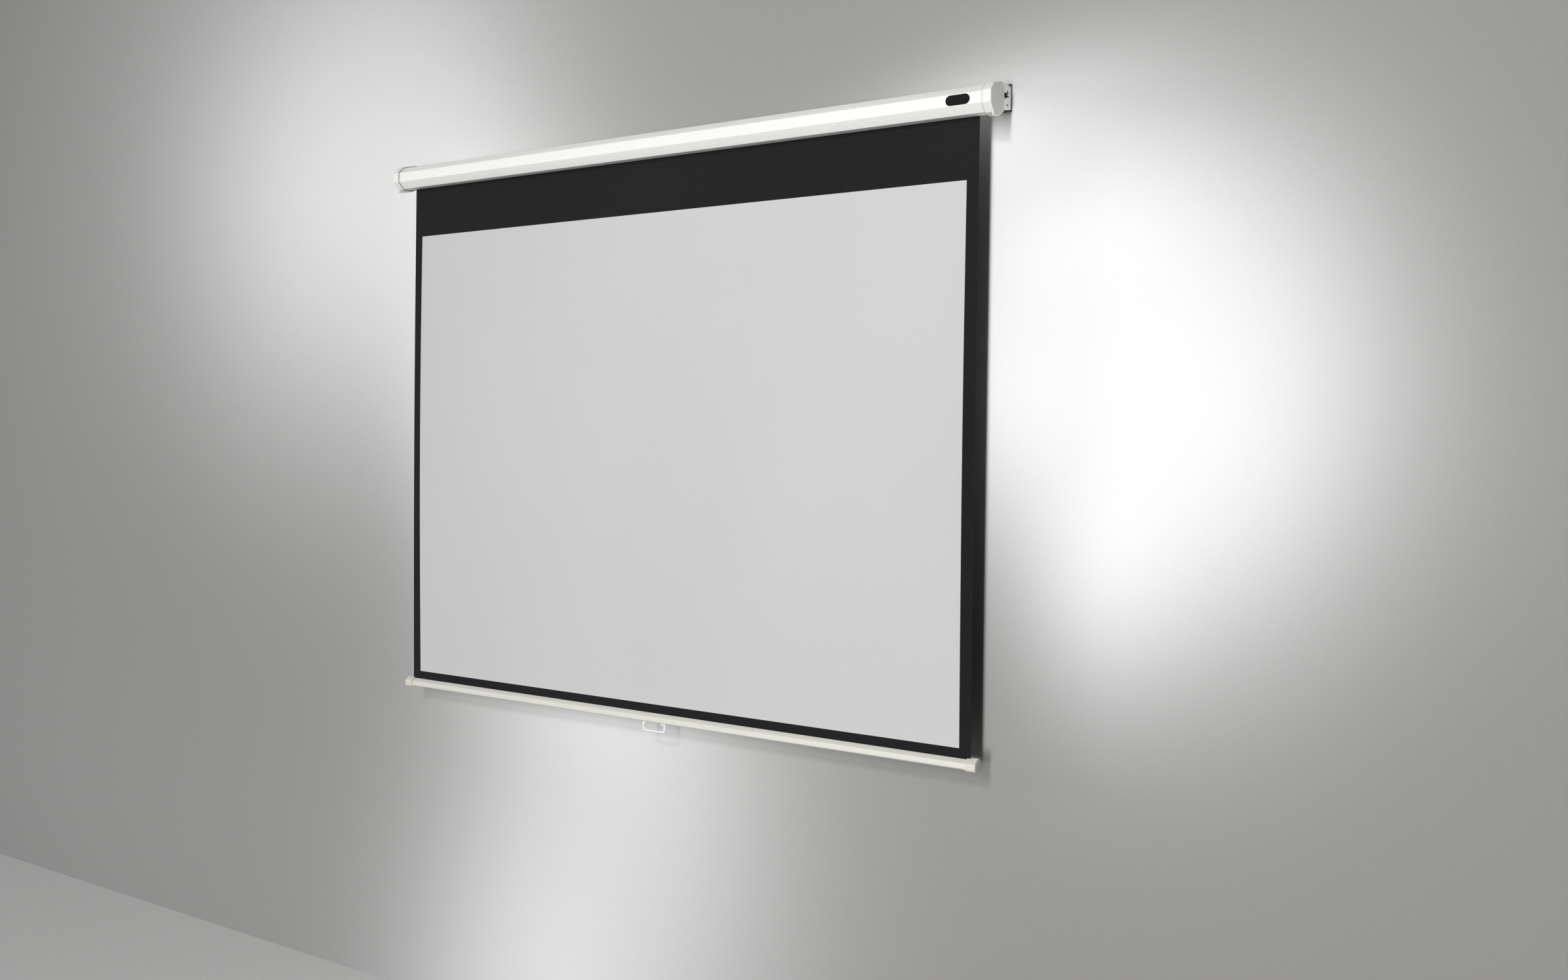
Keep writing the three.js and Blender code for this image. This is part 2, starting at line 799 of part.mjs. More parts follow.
// One sheet of two faces, closed round its four edges.
function fabricSheet() {
  const columns = sheetColumns();
  const heights = sheetHeights();
  const wide = columns.length;
  const tall = heights.length;
  const positions = [];
  [-1, 1].forEach((face) => {
    heights.forEach((z) => {
      columns.forEach((x) => {
        positions.push(x, fabricY + fabricBow(x, z) + (face * fabricThickness) / 2, z);
      });
    });
  });
  const back = wide * tall;
  const at = (row, column) => row * wide + column;
  const index = [];
  const quad = (a, b, c, d) => index.push(a, b, c, a, c, d);
  for (let row = 0; row < tall - 1; row += 1) {
    for (let column = 0; column < wide - 1; column += 1) {
      const a = at(row, column);
      const b = at(row + 1, column);
      const c = at(row + 1, column + 1);
      const d = at(row, column + 1);
      quad(a, b, c, d);
      quad(back + a, back + d, back + c, back + b);
    }
  }
  for (let row = 0; row < tall - 1; row += 1) {
    const [a, b] = [at(row, 0), at(row + 1, 0)];
    const [c, d] = [at(row, wide - 1), at(row + 1, wide - 1)];
    quad(a, back + a, back + b, b);
    quad(c, d, back + d, back + c);
  }
  for (let column = 0; column < wide - 1; column += 1) {
    const [a, b] = [at(0, column), at(0, column + 1)];
    const [c, d] = [at(tall - 1, column), at(tall - 1, column + 1)];
    quad(a, b, back + b, back + a);
    quad(c, back + c, back + d, d);
  }
  const geometry = new THREE.BufferGeometry();
  geometry.setAttribute("position", new THREE.Float32BufferAttribute(positions, 3));
  geometry.setIndex(index);
  return geometry;
}

// The bar's section: a flat front and foot, a sloped top in front of the fabric and a round back.
function barOutline() {
  const back = [];
  for (let i = 0; i <= heelSteps; i += 1) {
    const angle = (Math.PI * i) / heelSteps - Math.PI / 2;
    back.push([
      barCrownHalf + (barRear - barCrownHalf) * Math.cos(angle),
      (barHeight / 2) * (Math.sin(angle) - 1)
    ]);
  }
  return [
    [-barFront, barCorner - barHeight], [barCorner - barFront, -barHeight],
    ...back, [-barCrownHalf, 0], [-barFront, -barRidgeDrop]
  ];
}

function barShape(distance, radius) {
  return roundedShape(moved(grown(barOutline(), distance), fabricY, barTop), radius);
}

function weightBar() {
  const past = barEndX + cutOverrun;
  const stemHole = (x) => rodAboutZ(
    stemRadius + seatGap, barBottom - cutOverrun, barBottom + barWall + cutOverrun / 2,
    x, fabricY, smallSides
  );
  return cut(
    runAlongX(barShape(0, barCorner), -barEndX, barEndX),
    runAlongX(barShape(-barWall, barCorner - barWall), -past, past),
    block(
      -past, past, fabricY - barSlotHalf, fabricY + barSlotHalf,
      barTop - barWall - seatGap, barTop + cutOverrun
    ),
    stemHole(-lugX()),
    stemHole(lugX())
  );
}

function barCap(sign) {
  const face = sign * barCapFaceX;
  const rim = sign * barCapRimX;
  const past = rim - sign * cutOverrun;
  const notchEnd = sign * (fabricHalfWidth + notchMargin);
  const low = barBottom - barCapSkin - cutOverrun;
  const high = barTop + barCapSkin + cutOverrun;
  const notchX = [Math.min(past, notchEnd), Math.max(past, notchEnd)];
  return cut(
    runAlongX(barShape(barCapSkin, barCorner), past, face, barCapEdge),
    block(
      rim - sign * 2 * cutOverrun, rim,
      fabricY - barFront - 2 * cutOverrun, fabricY + barRear + 2 * cutOverrun, low, high
    ),
    runAlongX(barShape(seatGap, barCorner), past, sign * (barEndX + seatGap)),
    block(...notchX, fabricY - barSlotHalf, fabricY + barSlotHalf, barTop - barWall, high)
  );
}

function hemRod() {
  return rodAboutX(hemRodRadius, -hemHalfLength, hemHalfLength, fabricY, hemZ, smallSides);
}

function fabricHem() {
  const inner = hemRodRadius + seatGap;
  return ringAboutX(inner, hemRadius, -hemHalfLength, hemHalfLength, fabricY, hemZ, smallSides);
}

function lugX() {
  return handleHalfWidth - pivotBend - lugSetIn - lugWidth / 2;
}

// A lug under the bar, held by a stem whose head snaps in above the bar's floor.
function handleLug(sign) {
  const x = sign * lugX();
  const top = barBottom - seatGap;
  const cradle = [];
  for (let i = 0; i <= lugSteps; i += 1) {
    const angle = Math.PI * (1 + i / lugSteps);
    cradle.push([lugRadius * Math.cos(angle), lugRadius * Math.sin(angle)]);
  }
  const body = sharpShape(moved([
    ...cradle, [lugRadius, top - pivotZ - lugEdge], [lugRadius - lugEdge, top - pivotZ],
    [lugEdge - lugRadius, top - pivotZ], [-lugRadius, top - pivotZ - lugEdge]
  ], fabricY, pivotZ));
  const stemTop = barBottom + barWall + seatGap;
  const lug = joined(
    runAlongX(body, x - lugWidth / 2, x + lugWidth / 2),
    rodAboutZ(stemRadius, top - seatGap, stemTop + seatGap, x, fabricY, smallSides),
    rodAboutZ(stemHeadRadius, stemTop, stemTop + stemHeadHeight, x, fabricY, smallSides)
  );
  return cut(lug, rodAboutX(
    wireRadius + pivotGap, x - lugWidth, x + lugWidth, fabricY, pivotZ, smallSides
  ));
}

// The bail: in through one lug, out, down, across, up and in through the other.
function handlePath() {
  const bottom = pivotZ - handleDrop;
  const side = handleHalfWidth;
  const end = lugX() - lugWidth / 2;
  const at = (x, z) => new THREE.Vector3(x, fabricY, z);
  const path = new THREE.CurvePath();
  path.add(new THREE.LineCurve3(at(-end, pivotZ), at(pivotBend - side, pivotZ)));
  path.add(new THREE.QuadraticBezierCurve3(
    at(pivotBend - side, pivotZ), at(-side, pivotZ), at(-side, pivotZ - pivotBend)
  ));
  path.add(new THREE.LineCurve3(at(-side, pivotZ - pivotBend), at(-side, bottom + handleCorner)));
  path.add(new THREE.QuadraticBezierCurve3(
    at(-side, bottom + handleCorner), at(-side, bottom), at(handleCorner - side, bottom)
  ));
  path.add(new THREE.LineCurve3(at(handleCorner - side, bottom), at(side - handleCorner, bottom)));
  path.add(new THREE.QuadraticBezierCurve3(
    at(side - handleCorner, bottom), at(side, bottom), at(side, bottom + handleCorner)
  ));
  path.add(new THREE.LineCurve3(at(side, bottom + handleCorner), at(side, pivotZ - pivotBend)));
  path.add(new THREE.QuadraticBezierCurve3(
    at(side, pivotZ - pivotBend), at(side, pivotZ), at(side - pivotBend, pivotZ)
  ));
  path.add(new THREE.LineCurve3(at(side - pivotBend, pivotZ), at(end, pivotZ)));
  return path;
}

function pullHandle() {
  return new THREE.ExtrudeGeometry(sharpShape(circlePath(0, 0, wireRadius, wireSides)), {
    steps: handleSteps,
    curveSegments: 1,
    extrudePath: handlePath()
  });
}

add("case_shell", caseShell(), "caseWhite");
add("roller_tube", ringAboutX(tubeBore, rollerRadius, -rollerEndX, rollerEndX, axisY, 0, roundSides), "tubeSteel");
add("fabric_roll", ringAboutX(
  rollerRadius + seatGap, wrapRadius, -fabricHalfWidth, fabricHalfWidth, axisY, 0, roundSides
), "blackFabric");
add("lock_cartridge", lockCartridge(), "nylon");
add("spring_arbor", springArbor(), "zincSteel");
add("torsion_spring", torsionSpring(), "darkSteel");
add("spring_hub", springHub(), "nylon");
add("support_bush", supportBush(), "nylon");
add("idler_plug", idlerPlug(), "nylon");
add("idler_pin", idlerPin(), "zincSteel");
add("fabric_sheet", fabricSheet(), "screenFabric");
add("weight_bar", weightBar(), "barWhite");
add("hem_rod", hemRod(), "darkSteel");
add("fabric_hem", fabricHem(), "blackFabric");
add("pull_handle", pullHandle(), "handleWhite");
sides.forEach(({ name, sign }) => {
  const places = plateScrewPlaces();
  add(`end_cap_${name}`, endCap(sign), "capWhite");
  add(`end_block_${name}`, endBlock(sign), "nylon");
  add(`hanger_plate_${name}`, hangerPlate(sign), "zincSteel");
  add(`wall_bracket_${name}`, wallBracket(sign), "blackSteel");
  add(`bracket_bolt_${name}`, bracketBolt(sign), "zincSteel");
  add(`bracket_washer_${name}`, bracketWasher(sign), "blackSteel");
  add(`bracket_nut_${name}`, bracketNut(sign), "blackSteel");
  add(`cap_screw_${name}`, capScrew(sign), "zincSteel");
  add(`plate_screw_${name}_upper`, plateScrew(sign, places.upper), "zincSteel");
  add(`plate_screw_${name}_lower`, plateScrew(sign, places.lower), "zincSteel");
  add(`bar_cap_${name}`, barCap(sign), "capWhite");
  add(`handle_lug_${name}`, handleLug(sign), "handleWhite");
});

console.log(`bar travel ${travel.toFixed(2)} mm, roller axis ${wallToAxis.toFixed(2)} mm from the wall`);
console.log(`least gap between the spring's turns ${springLeastGap().toFixed(2)} mm`);

export default screen;
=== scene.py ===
import bpy
import bmesh
import math
from mathutils import Matrix, Vector


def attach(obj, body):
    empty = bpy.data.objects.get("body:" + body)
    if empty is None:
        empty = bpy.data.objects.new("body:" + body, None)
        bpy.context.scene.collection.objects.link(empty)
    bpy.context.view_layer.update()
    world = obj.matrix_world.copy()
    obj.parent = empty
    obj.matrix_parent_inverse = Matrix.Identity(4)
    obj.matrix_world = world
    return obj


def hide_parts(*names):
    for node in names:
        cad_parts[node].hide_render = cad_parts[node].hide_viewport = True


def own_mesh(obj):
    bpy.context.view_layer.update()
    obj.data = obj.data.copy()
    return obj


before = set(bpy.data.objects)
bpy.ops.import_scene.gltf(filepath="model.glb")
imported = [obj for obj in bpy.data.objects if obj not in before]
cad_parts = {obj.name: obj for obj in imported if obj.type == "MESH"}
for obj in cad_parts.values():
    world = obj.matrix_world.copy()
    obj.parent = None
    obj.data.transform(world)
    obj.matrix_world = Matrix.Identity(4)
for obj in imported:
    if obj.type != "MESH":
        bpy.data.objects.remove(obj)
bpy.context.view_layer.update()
scene = bpy.context.scene
scene.view_settings.view_transform = "Standard"
mm = 0.001

cameraSet = {  # solved from the white field's corners
    "place": (2023.08, -2858.86, -805.0),
    "yaw": 0.530509,
    "pitch": -0.0195406,
    "roll": 0.011218,
    "focal": 1913.52,  # pixels
    "middle": (1209.2155, 720.4765),
    "picture": (2420, 1512),
    "sensor": 36,
}


def addCamera(given):
    wide, tall = given["picture"]
    yaw, pitch, roll = given["yaw"], given["pitch"], given["roll"]
    ahead = Vector((-math.sin(yaw) * math.cos(pitch), math.cos(yaw) * math.cos(pitch), math.sin(pitch)))
    level = Vector((math.cos(yaw), math.sin(yaw), 0))
    upright = level.cross(ahead)
    right = level * math.cos(roll) + upright * math.sin(roll)
    up = upright * math.cos(roll) - level * math.sin(roll)
    data = bpy.data.cameras.new("photo_camera")
    data.sensor_width = given["sensor"]
    data.lens = given["focal"] / wide * given["sensor"]
    data.shift_x = (wide / 2 - given["middle"][0]) / wide
    data.shift_y = (given["middle"][1] - tall / 2) / wide
    camera = bpy.data.objects.new("photo_camera", data)
    turned = Matrix((right, up, -ahead)).transposed().to_4x4()
    camera.matrix_world = Matrix.Translation(Vector(given["place"]) * mm) @ turned
    scene.collection.objects.link(camera)
    scene.camera = camera


addCamera(cameraSet)
print("camera ready")

place = {  # sizes that the pieces share, in millimetres
    "axisY": -115.89,  # roller's axis
    "fabricY": -100.0,
    "caseHalf": 32.25,
    "caseEnd": 969.2,
    "capRim": 953.5,
    "plateFace": 971.5,  # hanger plate's outer face
    "fabricHalf": 930.0,
    "whiteTop": -179.25,
    "whiteBottom": -1529.25,
    "barTop": -1552.75,
    "barHeight": 23.5,
    "pivotZ": -1580.75,
    "travel": 1511.5,
    "gap": 0.3,  # between pieces that touch
    "past": 6,  # how far a cutter reaches past what it cuts
}
ends = (("left", -1), ("right", 1))
eighth = math.tan(math.pi / 8)  # half side of an octagon whose half width is 1


class Wire:  # a socket that takes part in Python arithmetic
    def __init__(self, tree, socket):
        self.tree = tree
        self.socket = socket

    def node(self, kind, values=None, output=0, **settings):
        made = self.tree.nodes.new(kind)
        for key, value in settings.items():
            setattr(made, key, value)
        for key, value in (values or {}).items():
            for item in value if isinstance(value, list) else [value]:
                if isinstance(item, Wire):
                    self.tree.links.new(item.socket, made.inputs[key])
                else:
                    made.inputs[key].default_value = item
        return Wire(self.tree, made.outputs[output])

    def math(self, operation, *others, clamp=False):
        values = dict(enumerate((self, *others)))
        return self.node("ShaderNodeMath", values, operation=operation, use_clamp=clamp)

    def __add__(self, other):
        return self.math("ADD", other)

    def __sub__(self, other):
        return self.math("SUBTRACT", other)

    def __mul__(self, other):
        return self.math("MULTIPLY", other)

    def __truediv__(self, other):
        return self.math("DIVIDE", other)

    def __rsub__(self, other):
        return self.node("ShaderNodeMath", {0: other, 1: self}, operation="SUBTRACT")

    __radd__ = __add__
    __rmul__ = __mul__

    def between(self, low, high):  # 0 below low, 1 above high, smooth between
        values = {"From Min": low, "From Max": high, 0: self}
        return self.node("ShaderNodeMapRange", values, interpolation_type="SMOOTHSTEP")

    def parts(self):
        split = self.tree.nodes.new("ShaderNodeSeparateXYZ")
        self.tree.links.new(self.socket, split.inputs[0])
        return [Wire(self.tree, output) for output in split.outputs]

    def stretched(self, scale):
        return self.node("ShaderNodeMapping", {"Vector": self, "Scale": scale})

    def noise(self, scale, detail=2, roughness=0.5):
        values = {"Vector": self, "Scale": scale, "Detail": detail, "Roughness": roughness}
        return self.node("ShaderNodeTexNoise", values)

    def mixed(self, first, second):  # colours, by this wire's value
        return self.node("ShaderNodeMix", {0: self, 6: first, 7: second}, 2, data_type="RGBA")

    def shaded(self, colour, low, high):  # two shades of one colour, by this wire's value
        return self.mixed(shade(colour, low), shade(colour, high))


def shade(colour, factor):
    return tuple(min(c * factor, 1) for c in colour[:3]) + (1,)


def newFinish(name, constants):
    material = bpy.data.materials.new(name)
    material.use_nodes = True
    tree = material.node_tree
    shader = tree.nodes["Principled BSDF"]
    for key, value in constants.items():
        shader.inputs[key].default_value = value
    coords = Wire(tree, tree.nodes.new("ShaderNodeTexCoord").outputs["Object"])
    return material, shader, coords


def plug(shader, **wires):
    names = {"colour": "Base Color", "rough": "Roughness", "normal": "Normal"}
    for key, wire in wires.items():
        wire.tree.links.new(wire.socket, shader.inputs[names[key]])


def bump(height, depth):  # depth in millimetres
    return height.node("ShaderNodeBump", {"Height": height, "Distance": depth * mm})


paintSet = {
    "mottle": (0.35, 0.65),
    "mottleTones": (0.965, 1.02),
    "soil": (0.45, 0.8),
    "soilSize": 6,
    "soilShare": 0.25,
    "soilTone": 0.93,
    "fine": (4, 0.3),  # scale and share, against the peel
    "rough": (0.42, 0.12, 0.06),  # least, more with the peel, more with the mottle
    "depth": 0.12,
}


def powderCoat(name, colour, peel, speckle, given=paintSet):
    material, shader, coords = newFinish(name, {"IOR": 1.5})
    scale, share = given["fine"]
    orange = coords.noise(peel)
    fine = coords.noise(peel * scale, detail=1) * share
    mottle = coords.noise(speckle, detail=4, roughness=0.7).between(*given["mottle"])
    soil = coords.noise(given["soilSize"], detail=3).between(*given["soil"]) * given["soilShare"]
    least, withPeel, withMottle = given["rough"]
    plug(
        shader,
        colour=soil.mixed(mottle.shaded(colour, *given["mottleTones"]), shade(colour, given["soilTone"])),
        rough=least + orange * withPeel + mottle * withMottle,
        normal=bump(orange + fine, given["depth"]),
    )
    return material


plasticSet = {
    "cloud": (0.3, 0.7),
    "cloudSize": 25,
    "cloudTones": (0.97, 1.02),
    "rub": (0.55, 0.75),
    "rubSize": 180,
    "rubStretch": (1, 1, 0.25),
    "rough": (0.15, 0.06),  # more with the grain, less where rubbed
    "paintedSeamShade": (0.65, 0.3, 0.12),  # painted seam shade: share, more with the grain, tone
    "paintedSeamShadeCore": 0.6,
    "depth": 0.08,
}


def mouldedPlastic(name, colour, grain, roughness, shine=0.0, mirror=0.5, seam=None, given=plasticSet):
    constants = {"IOR": 1.47, "Coat Weight": shine, "Coat Roughness": 0.18, "Specular IOR Level": mirror}
    material, shader, coords = newFinish(name, constants)
    texture = coords.noise(grain, detail=3, roughness=0.6)
    cloud = coords.noise(given["cloudSize"], detail=3).between(*given["cloud"])
    rub = coords.stretched(given["rubStretch"]).noise(given["rubSize"], detail=3).between(*given["rub"])
    tone = cloud.shaded(colour, *given["cloudTones"])
    if seam:  # painted shade along the seam between cap and case: its distance from the middle and its half width
        middle, half = seam
        share, withGrain, dark = given["paintedSeamShade"]
        away = (coords.parts()[0].math("ABSOLUTE") - middle * mm).math("ABSOLUTE")
        paintedSeamShade = (1 - away.between(half * given["paintedSeamShadeCore"] * mm, half * mm)) * (share + texture * withGrain)
        tone = paintedSeamShade.mixed(tone, shade(colour, dark))
    withGrain, whereRubbed = given["rough"]
    plug(
        shader,
        colour=tone,
        rough=roughness + texture * withGrain - rub * whereRubbed,
        normal=bump(texture, given["depth"]),
    )
    return material


steelSet = {
    "streakSize": 900,
    "tones": (0.86, 1.12),
    "stain": (0.5, 0.75),
    "stainSize": 40,
    "stainTone": 0.8,
    "rough": (0.1, 0.12, 0.1),  # more with the spangle, the streak and the stain
    "relief": 0.4,
    "depth": 0.03,
}


def platedSteel(name, colour, flake, roughness, brush, given=steelSet):
    material, shader, coords = newFinish(name, {"IOR": 2.0, "Metallic": 0.9})
    spangle = coords.node("ShaderNodeTexVoronoi", {"Vector": coords, "Scale": flake}, "Color")
    tone = spangle.parts()[0]
    streak = coords.stretched(brush).noise(given["streakSize"], detail=3, roughness=0.6)
    stain = coords.noise(given["stainSize"], detail=4, roughness=0.6).between(*given["stain"])
    body = (tone * 0.5 + streak * 0.5).shaded(colour, *given["tones"])
    withTone, withStreak, withStain = given["rough"]
    plug(
        shader,
        colour=stain.mixed(body, shade(colour, given["stainTone"])),
        rough=roughness + tone * withTone + streak * withStreak + stain * withStain,
        normal=bump(streak + tone * given["relief"], given["depth"]),
    )
    return material


clothSet = {
    "slubSize": 420,
    "slubStretch": 0.12,
    "slubRelief": 0.6,
    "cloud": (0.3, 0.7),
    "cloudSize": 1.6,
    "lint": (0.3, 0.72),
    "lintSize": 260,
    "lintShare": 0.5,
    "lintTone": 2.2,  # times the variation
    "rough": (0.82, 0.08, 0.05),  # least, more with the weave, less with the lint
}


def coatedCloth(name, colour, thread, depth, sheen, variation, given=clothSet):
    constants = {"Sheen Weight": sheen, "Sheen Roughness": 0.5, "IOR": 1.4, "Specular IOR Level": 0.15}
    material, shader, coords = newFinish(name, constants)
    x, _, z = coords.parts()
    turns = 2 * math.pi / (thread * mm)
    weave = (x * turns).math("SINE") * (z * turns).math("SINE") * 0.5 + 0.5
    size, narrow = given["slubSize"], given["slubStretch"]
    slub = coords.stretched((1, 1, narrow)).noise(size) + coords.stretched((narrow, 1, 1)).noise(size)
    cloud = coords.stretched((1, 1, 0.6)).noise(given["cloudSize"], detail=3).between(*given["cloud"])
    lint = coords.noise(given["lintSize"], detail=4, roughness=0.75).between(*given["lint"])
    body = cloud.shaded(colour, 1 - variation, 1 + variation)
    least, withWeave, withLint = given["rough"]
    plug(
        shader,
        colour=(lint * given["lintShare"]).mixed(body, shade(colour, 1 - given["lintTone"] * variation)),
        rough=least + weave * withWeave - lint * withLint,
        normal=bump(weave + slub * given["slubRelief"], depth),
    )
    return material


finishSet = {  # by maker: the material's name, its colour and the maker's values
    powderCoat: {
        "casePaint": ("case_powder_coat", (0.93, 0.925, 0.9), dict(peel=620, speckle=150)),
        # the bar's paint is darker than the case's, as painted shade where the bar gets less light
        "shadedBarPaint": ("bar_powder_coat", (0.77, 0.765, 0.695), dict(peel=700, speckle=170)),
        "blackSteel": ("black_paint", (0.03, 0.03, 0.032), dict(peel=800, speckle=220)),
    },
    mouldedPlastic: {
        # the cap's rim gets a painted shade line where it meets the case
        "capPlastic": (
            "cap_moulding", (0.9, 0.895, 0.86), dict(grain=1500, roughness=0.4, seam=(place["capRim"], 1.2)),
        ),
        # the bar's caps are darker than the case's caps, as painted shade where their ends get less light
        "shadedBarCapPlastic": ("bar_cap_moulding", (0.74, 0.725, 0.645), dict(grain=1500, roughness=0.4)),
        "handleCoat": ("handle_dip_coat", (0.96, 0.96, 0.94), dict(grain=500, roughness=0.28, shine=0.3)),
        "nylon": ("black_moulding", (0.05, 0.05, 0.055), dict(grain=1200, roughness=0.48)),
        "plate": ("gloss_black_plate", (0.006, 0.006, 0.0065), dict(grain=900, roughness=0.06, mirror=0.3)),
    },
    platedSteel: {
        "zinc": ("zinc_plate", (0.74, 0.74, 0.72), dict(flake=260, roughness=0.28, brush=(1, 1, 0.08))),
        "tube": ("galvanised_tube", (0.62, 0.63, 0.64), dict(flake=90, roughness=0.3, brush=(0.05, 1, 1))),
        "darkSteel": ("oiled_steel", (0.3, 0.3, 0.31), dict(flake=500, roughness=0.38, brush=(0.1, 1, 1))),
    },
    coatedCloth: {
        "blackCloth": (
            "black_coated_cloth", (0.014, 0.014, 0.0155),
            dict(thread=0.9, depth=0.05, sheen=0.03, variation=0.12),
        ),
        "whiteCloth": (
            "white_matte_cloth", (0.61, 0.61, 0.61), dict(thread=0.7, depth=0.02, sheen=0.05, variation=0.018),
        ),
    },
}
finishes = {
    key: make(name, colour, **values)
    for make, group in finishSet.items() for key, (name, colour, values) in group.items()
}
print("finishes ready")


def inMetres(values):
    return {key: value * mm for key, value in values.items()}


def rawPiece(name, points, faces=()):
    mesh = bpy.data.meshes.new(name)
    mesh.from_pydata([Vector(p) * mm for p in points], [], faces)
    piece = bpy.data.objects.new(name, mesh)
    scene.collection.objects.link(piece)
    return piece


def newPiece(name, points, faces):
    return tidy(rawPiece(name, points, faces))


def tidy(piece, reach=1e-6, flat=None):  # flat is the turn below which faces join
    shape = bmesh.new()
    shape.from_mesh(piece.data)
    bmesh.ops.remove_doubles(shape, verts=shape.verts, dist=reach)
    bmesh.ops.recalc_face_normals(shape, faces=shape.faces)
    if flat:
        bmesh.ops.dissolve_limit(shape, angle_limit=flat, verts=shape.verts, edges=shape.edges)
    shape.to_mesh(piece.data)
    shape.free()
    return piece


def settle(piece, body, finish, slot, replaced=(), smooth=32):
    piece.data.materials.clear()
    piece.data.materials.append(finishes[finish])
    piece.data.polygons.foreach_set("use_smooth", [True] * len(piece.data.polygons))
    piece.data.set_sharp_from_angle(angle=math.radians(smooth))
    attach(piece, body)
    if replaced:
        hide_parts(*replaced)


def applied(piece):  # the piece's modifiers become its mesh
    graph = bpy.context.evaluated_depsgraph_get()
    mesh = bpy.data.meshes.new_from_object(piece.evaluated_get(graph), depsgraph=graph)
    old = piece.data
    piece.modifiers.clear()
    piece.data = mesh
    bpy.data.meshes.remove(old)
    mesh.name = piece.name
    return piece


def combine(piece, operation, others):
    for other in others:
        step = piece.modifiers.new("combine", "BOOLEAN")
        step.operation = operation
        step.solver = "EXACT"
        step.object = other
    applied(piece)
    for other in others:
        bpy.data.objects.remove(other)


def softened(piece, width, segments=2, angle=50):
    step = piece.modifiers.new("edges", "BEVEL")
    step.width = width * mm
    step.segments = segments
    step.limit_method = "ANGLE"
    step.angle_limit = math.radians(angle)
    step.miter_outer = "MITER_ARC"
    return applied(piece)


leastTurn = 0.06  # a corner that turns less stays
mostReach = 0.48  # of an edge that a corner's arc takes


def rounded(points, radii, steps):  # an outline with each corner turned into an arc
    result = []
    count = len(points)
    for i, point in enumerate(points):
        corner = Vector(point)
        before = Vector(points[i - 1]) - corner
        after = Vector(points[(i + 1) % count]) - corner
        turn = math.pi - before.angle(after)
        if radii[i] <= 0 or turn < leastTurn:
            result.append(tuple(corner))
            continue
        reach = min(radii[i] * math.tan(turn / 2), mostReach * min(before.length, after.length))
        bend = reach / math.tan(turn / 2)
        start = corner + before.normalized() * reach
        end = corner + after.normalized() * reach
        inward = (before.normalized() + after.normalized()).normalized()
        middle = corner + inward * bend / math.cos(turn / 2)
        first = math.degrees(math.atan2(start.y - middle.y, start.x - middle.x))
        last = math.degrees(math.atan2(end.y - middle.y, end.x - middle.x))
        result += arc(middle, bend, first, first + (last - first + 180) % 360 - 180, steps)
    return result


def grown(points, distance):  # every edge of a convex outline moves out
    edges = []
    count = len(points)
    for i, (y, z) in enumerate(points):
        nextY, nextZ = points[(i + 1) % count]
        length = math.hypot(nextY - y, nextZ - z)
        outY, outZ = (nextZ - z) / length, (y - nextY) / length
        edges.append((outY, outZ, outY * y + outZ * z + distance))
    result = []
    for i, (outY, outZ, reach) in enumerate(edges):
        lastY, lastZ, lastReach = edges[i - 1]
        turn = lastY * outZ - lastZ * outY
        result.append(((lastReach * outZ - reach * lastZ) / turn, (reach * lastY - lastReach * outY) / turn))
    return result


def box(low, high, foot, top):
    return [(low, foot), (high, foot), (high, top), (low, top)]


def arc(centre, radius, first, last, steps):  # angles in degrees
    angles = [math.radians(first + (last - first) * step / steps) for step in range(steps + 1)]
    return [(centre[0] + radius * math.cos(angle), centre[1] + radius * math.sin(angle)) for angle in angles]


def circle(radius, count, y=0, z=0, first=0):
    return arc((y, z), radius, first, first + 360 - 360 / count, count - 1)


def octagon(half):  # from the left corner of its foot
    return circle(math.hypot(half, half * eighth), 8, first=-112.5)


def quarterRound(edge, steps):  # depth and inset of the rings round an edge, from side to face
    return [(edge * (1 - z), edge * (1 - y)) for y, z in arc((0, 0), 1, 0, 90, steps)]


def shifted(points, dy, dz=0):
    return [(y + dy, z + dz) for y, z in points]


def aboutAxis(outline):
    return shifted(outline, place["axisY"])


def onBar(outline):  # drawn from the middle of the bar's top
    return shifted(outline, place["fabricY"], place["barTop"])


def tubeFaces(rings, count):  # walls between rings of points, and both end faces
    faces = [tuple(reversed(range(count)))]
    for low in range(0, (rings - 1) * count, count):
        for i in range(count):
            j = (i + 1) % count
            faces.append((low + i, low + j, low + count + j, low + count + i))
    return faces + [tuple(range((rings - 1) * count, rings * count))]


def loft(name, rings):  # rings of (x, outline), all with as many points
    points = [(x, y, z) for x, outline in rings for y, z in outline]
    return newPiece(name, points, tubeFaces(len(rings), len(rings[0][1])))


def prism(outline, fromX, toX, name="cutter"):
    return loft(name, [(min(fromX, toX), outline), (max(fromX, toX), outline)])


def rodAlongZ(x, y, radius, fromZ, toZ, count=32):
    points = [(a, b, z) for z in (fromZ, toZ) for a, b in circle(radius, count, x, y)]
    return newPiece("cutter", points, tubeFaces(2, count))


caseSet = {
    "wall": 0.9,
    "fold": 2.6,
    "foldSteps": 5,
    "lip": 4.5,
    "lipEdge": 0.3,
    "hemShare": 0.45,  # of the wall
    "slotHalf": 4.6,
    "screwInset": 6.5,
    "screwPlace": 4,  # behind the roller's axis
    "screwHole": 2.0,
    "screwHoleZ": (-40, -28),
}


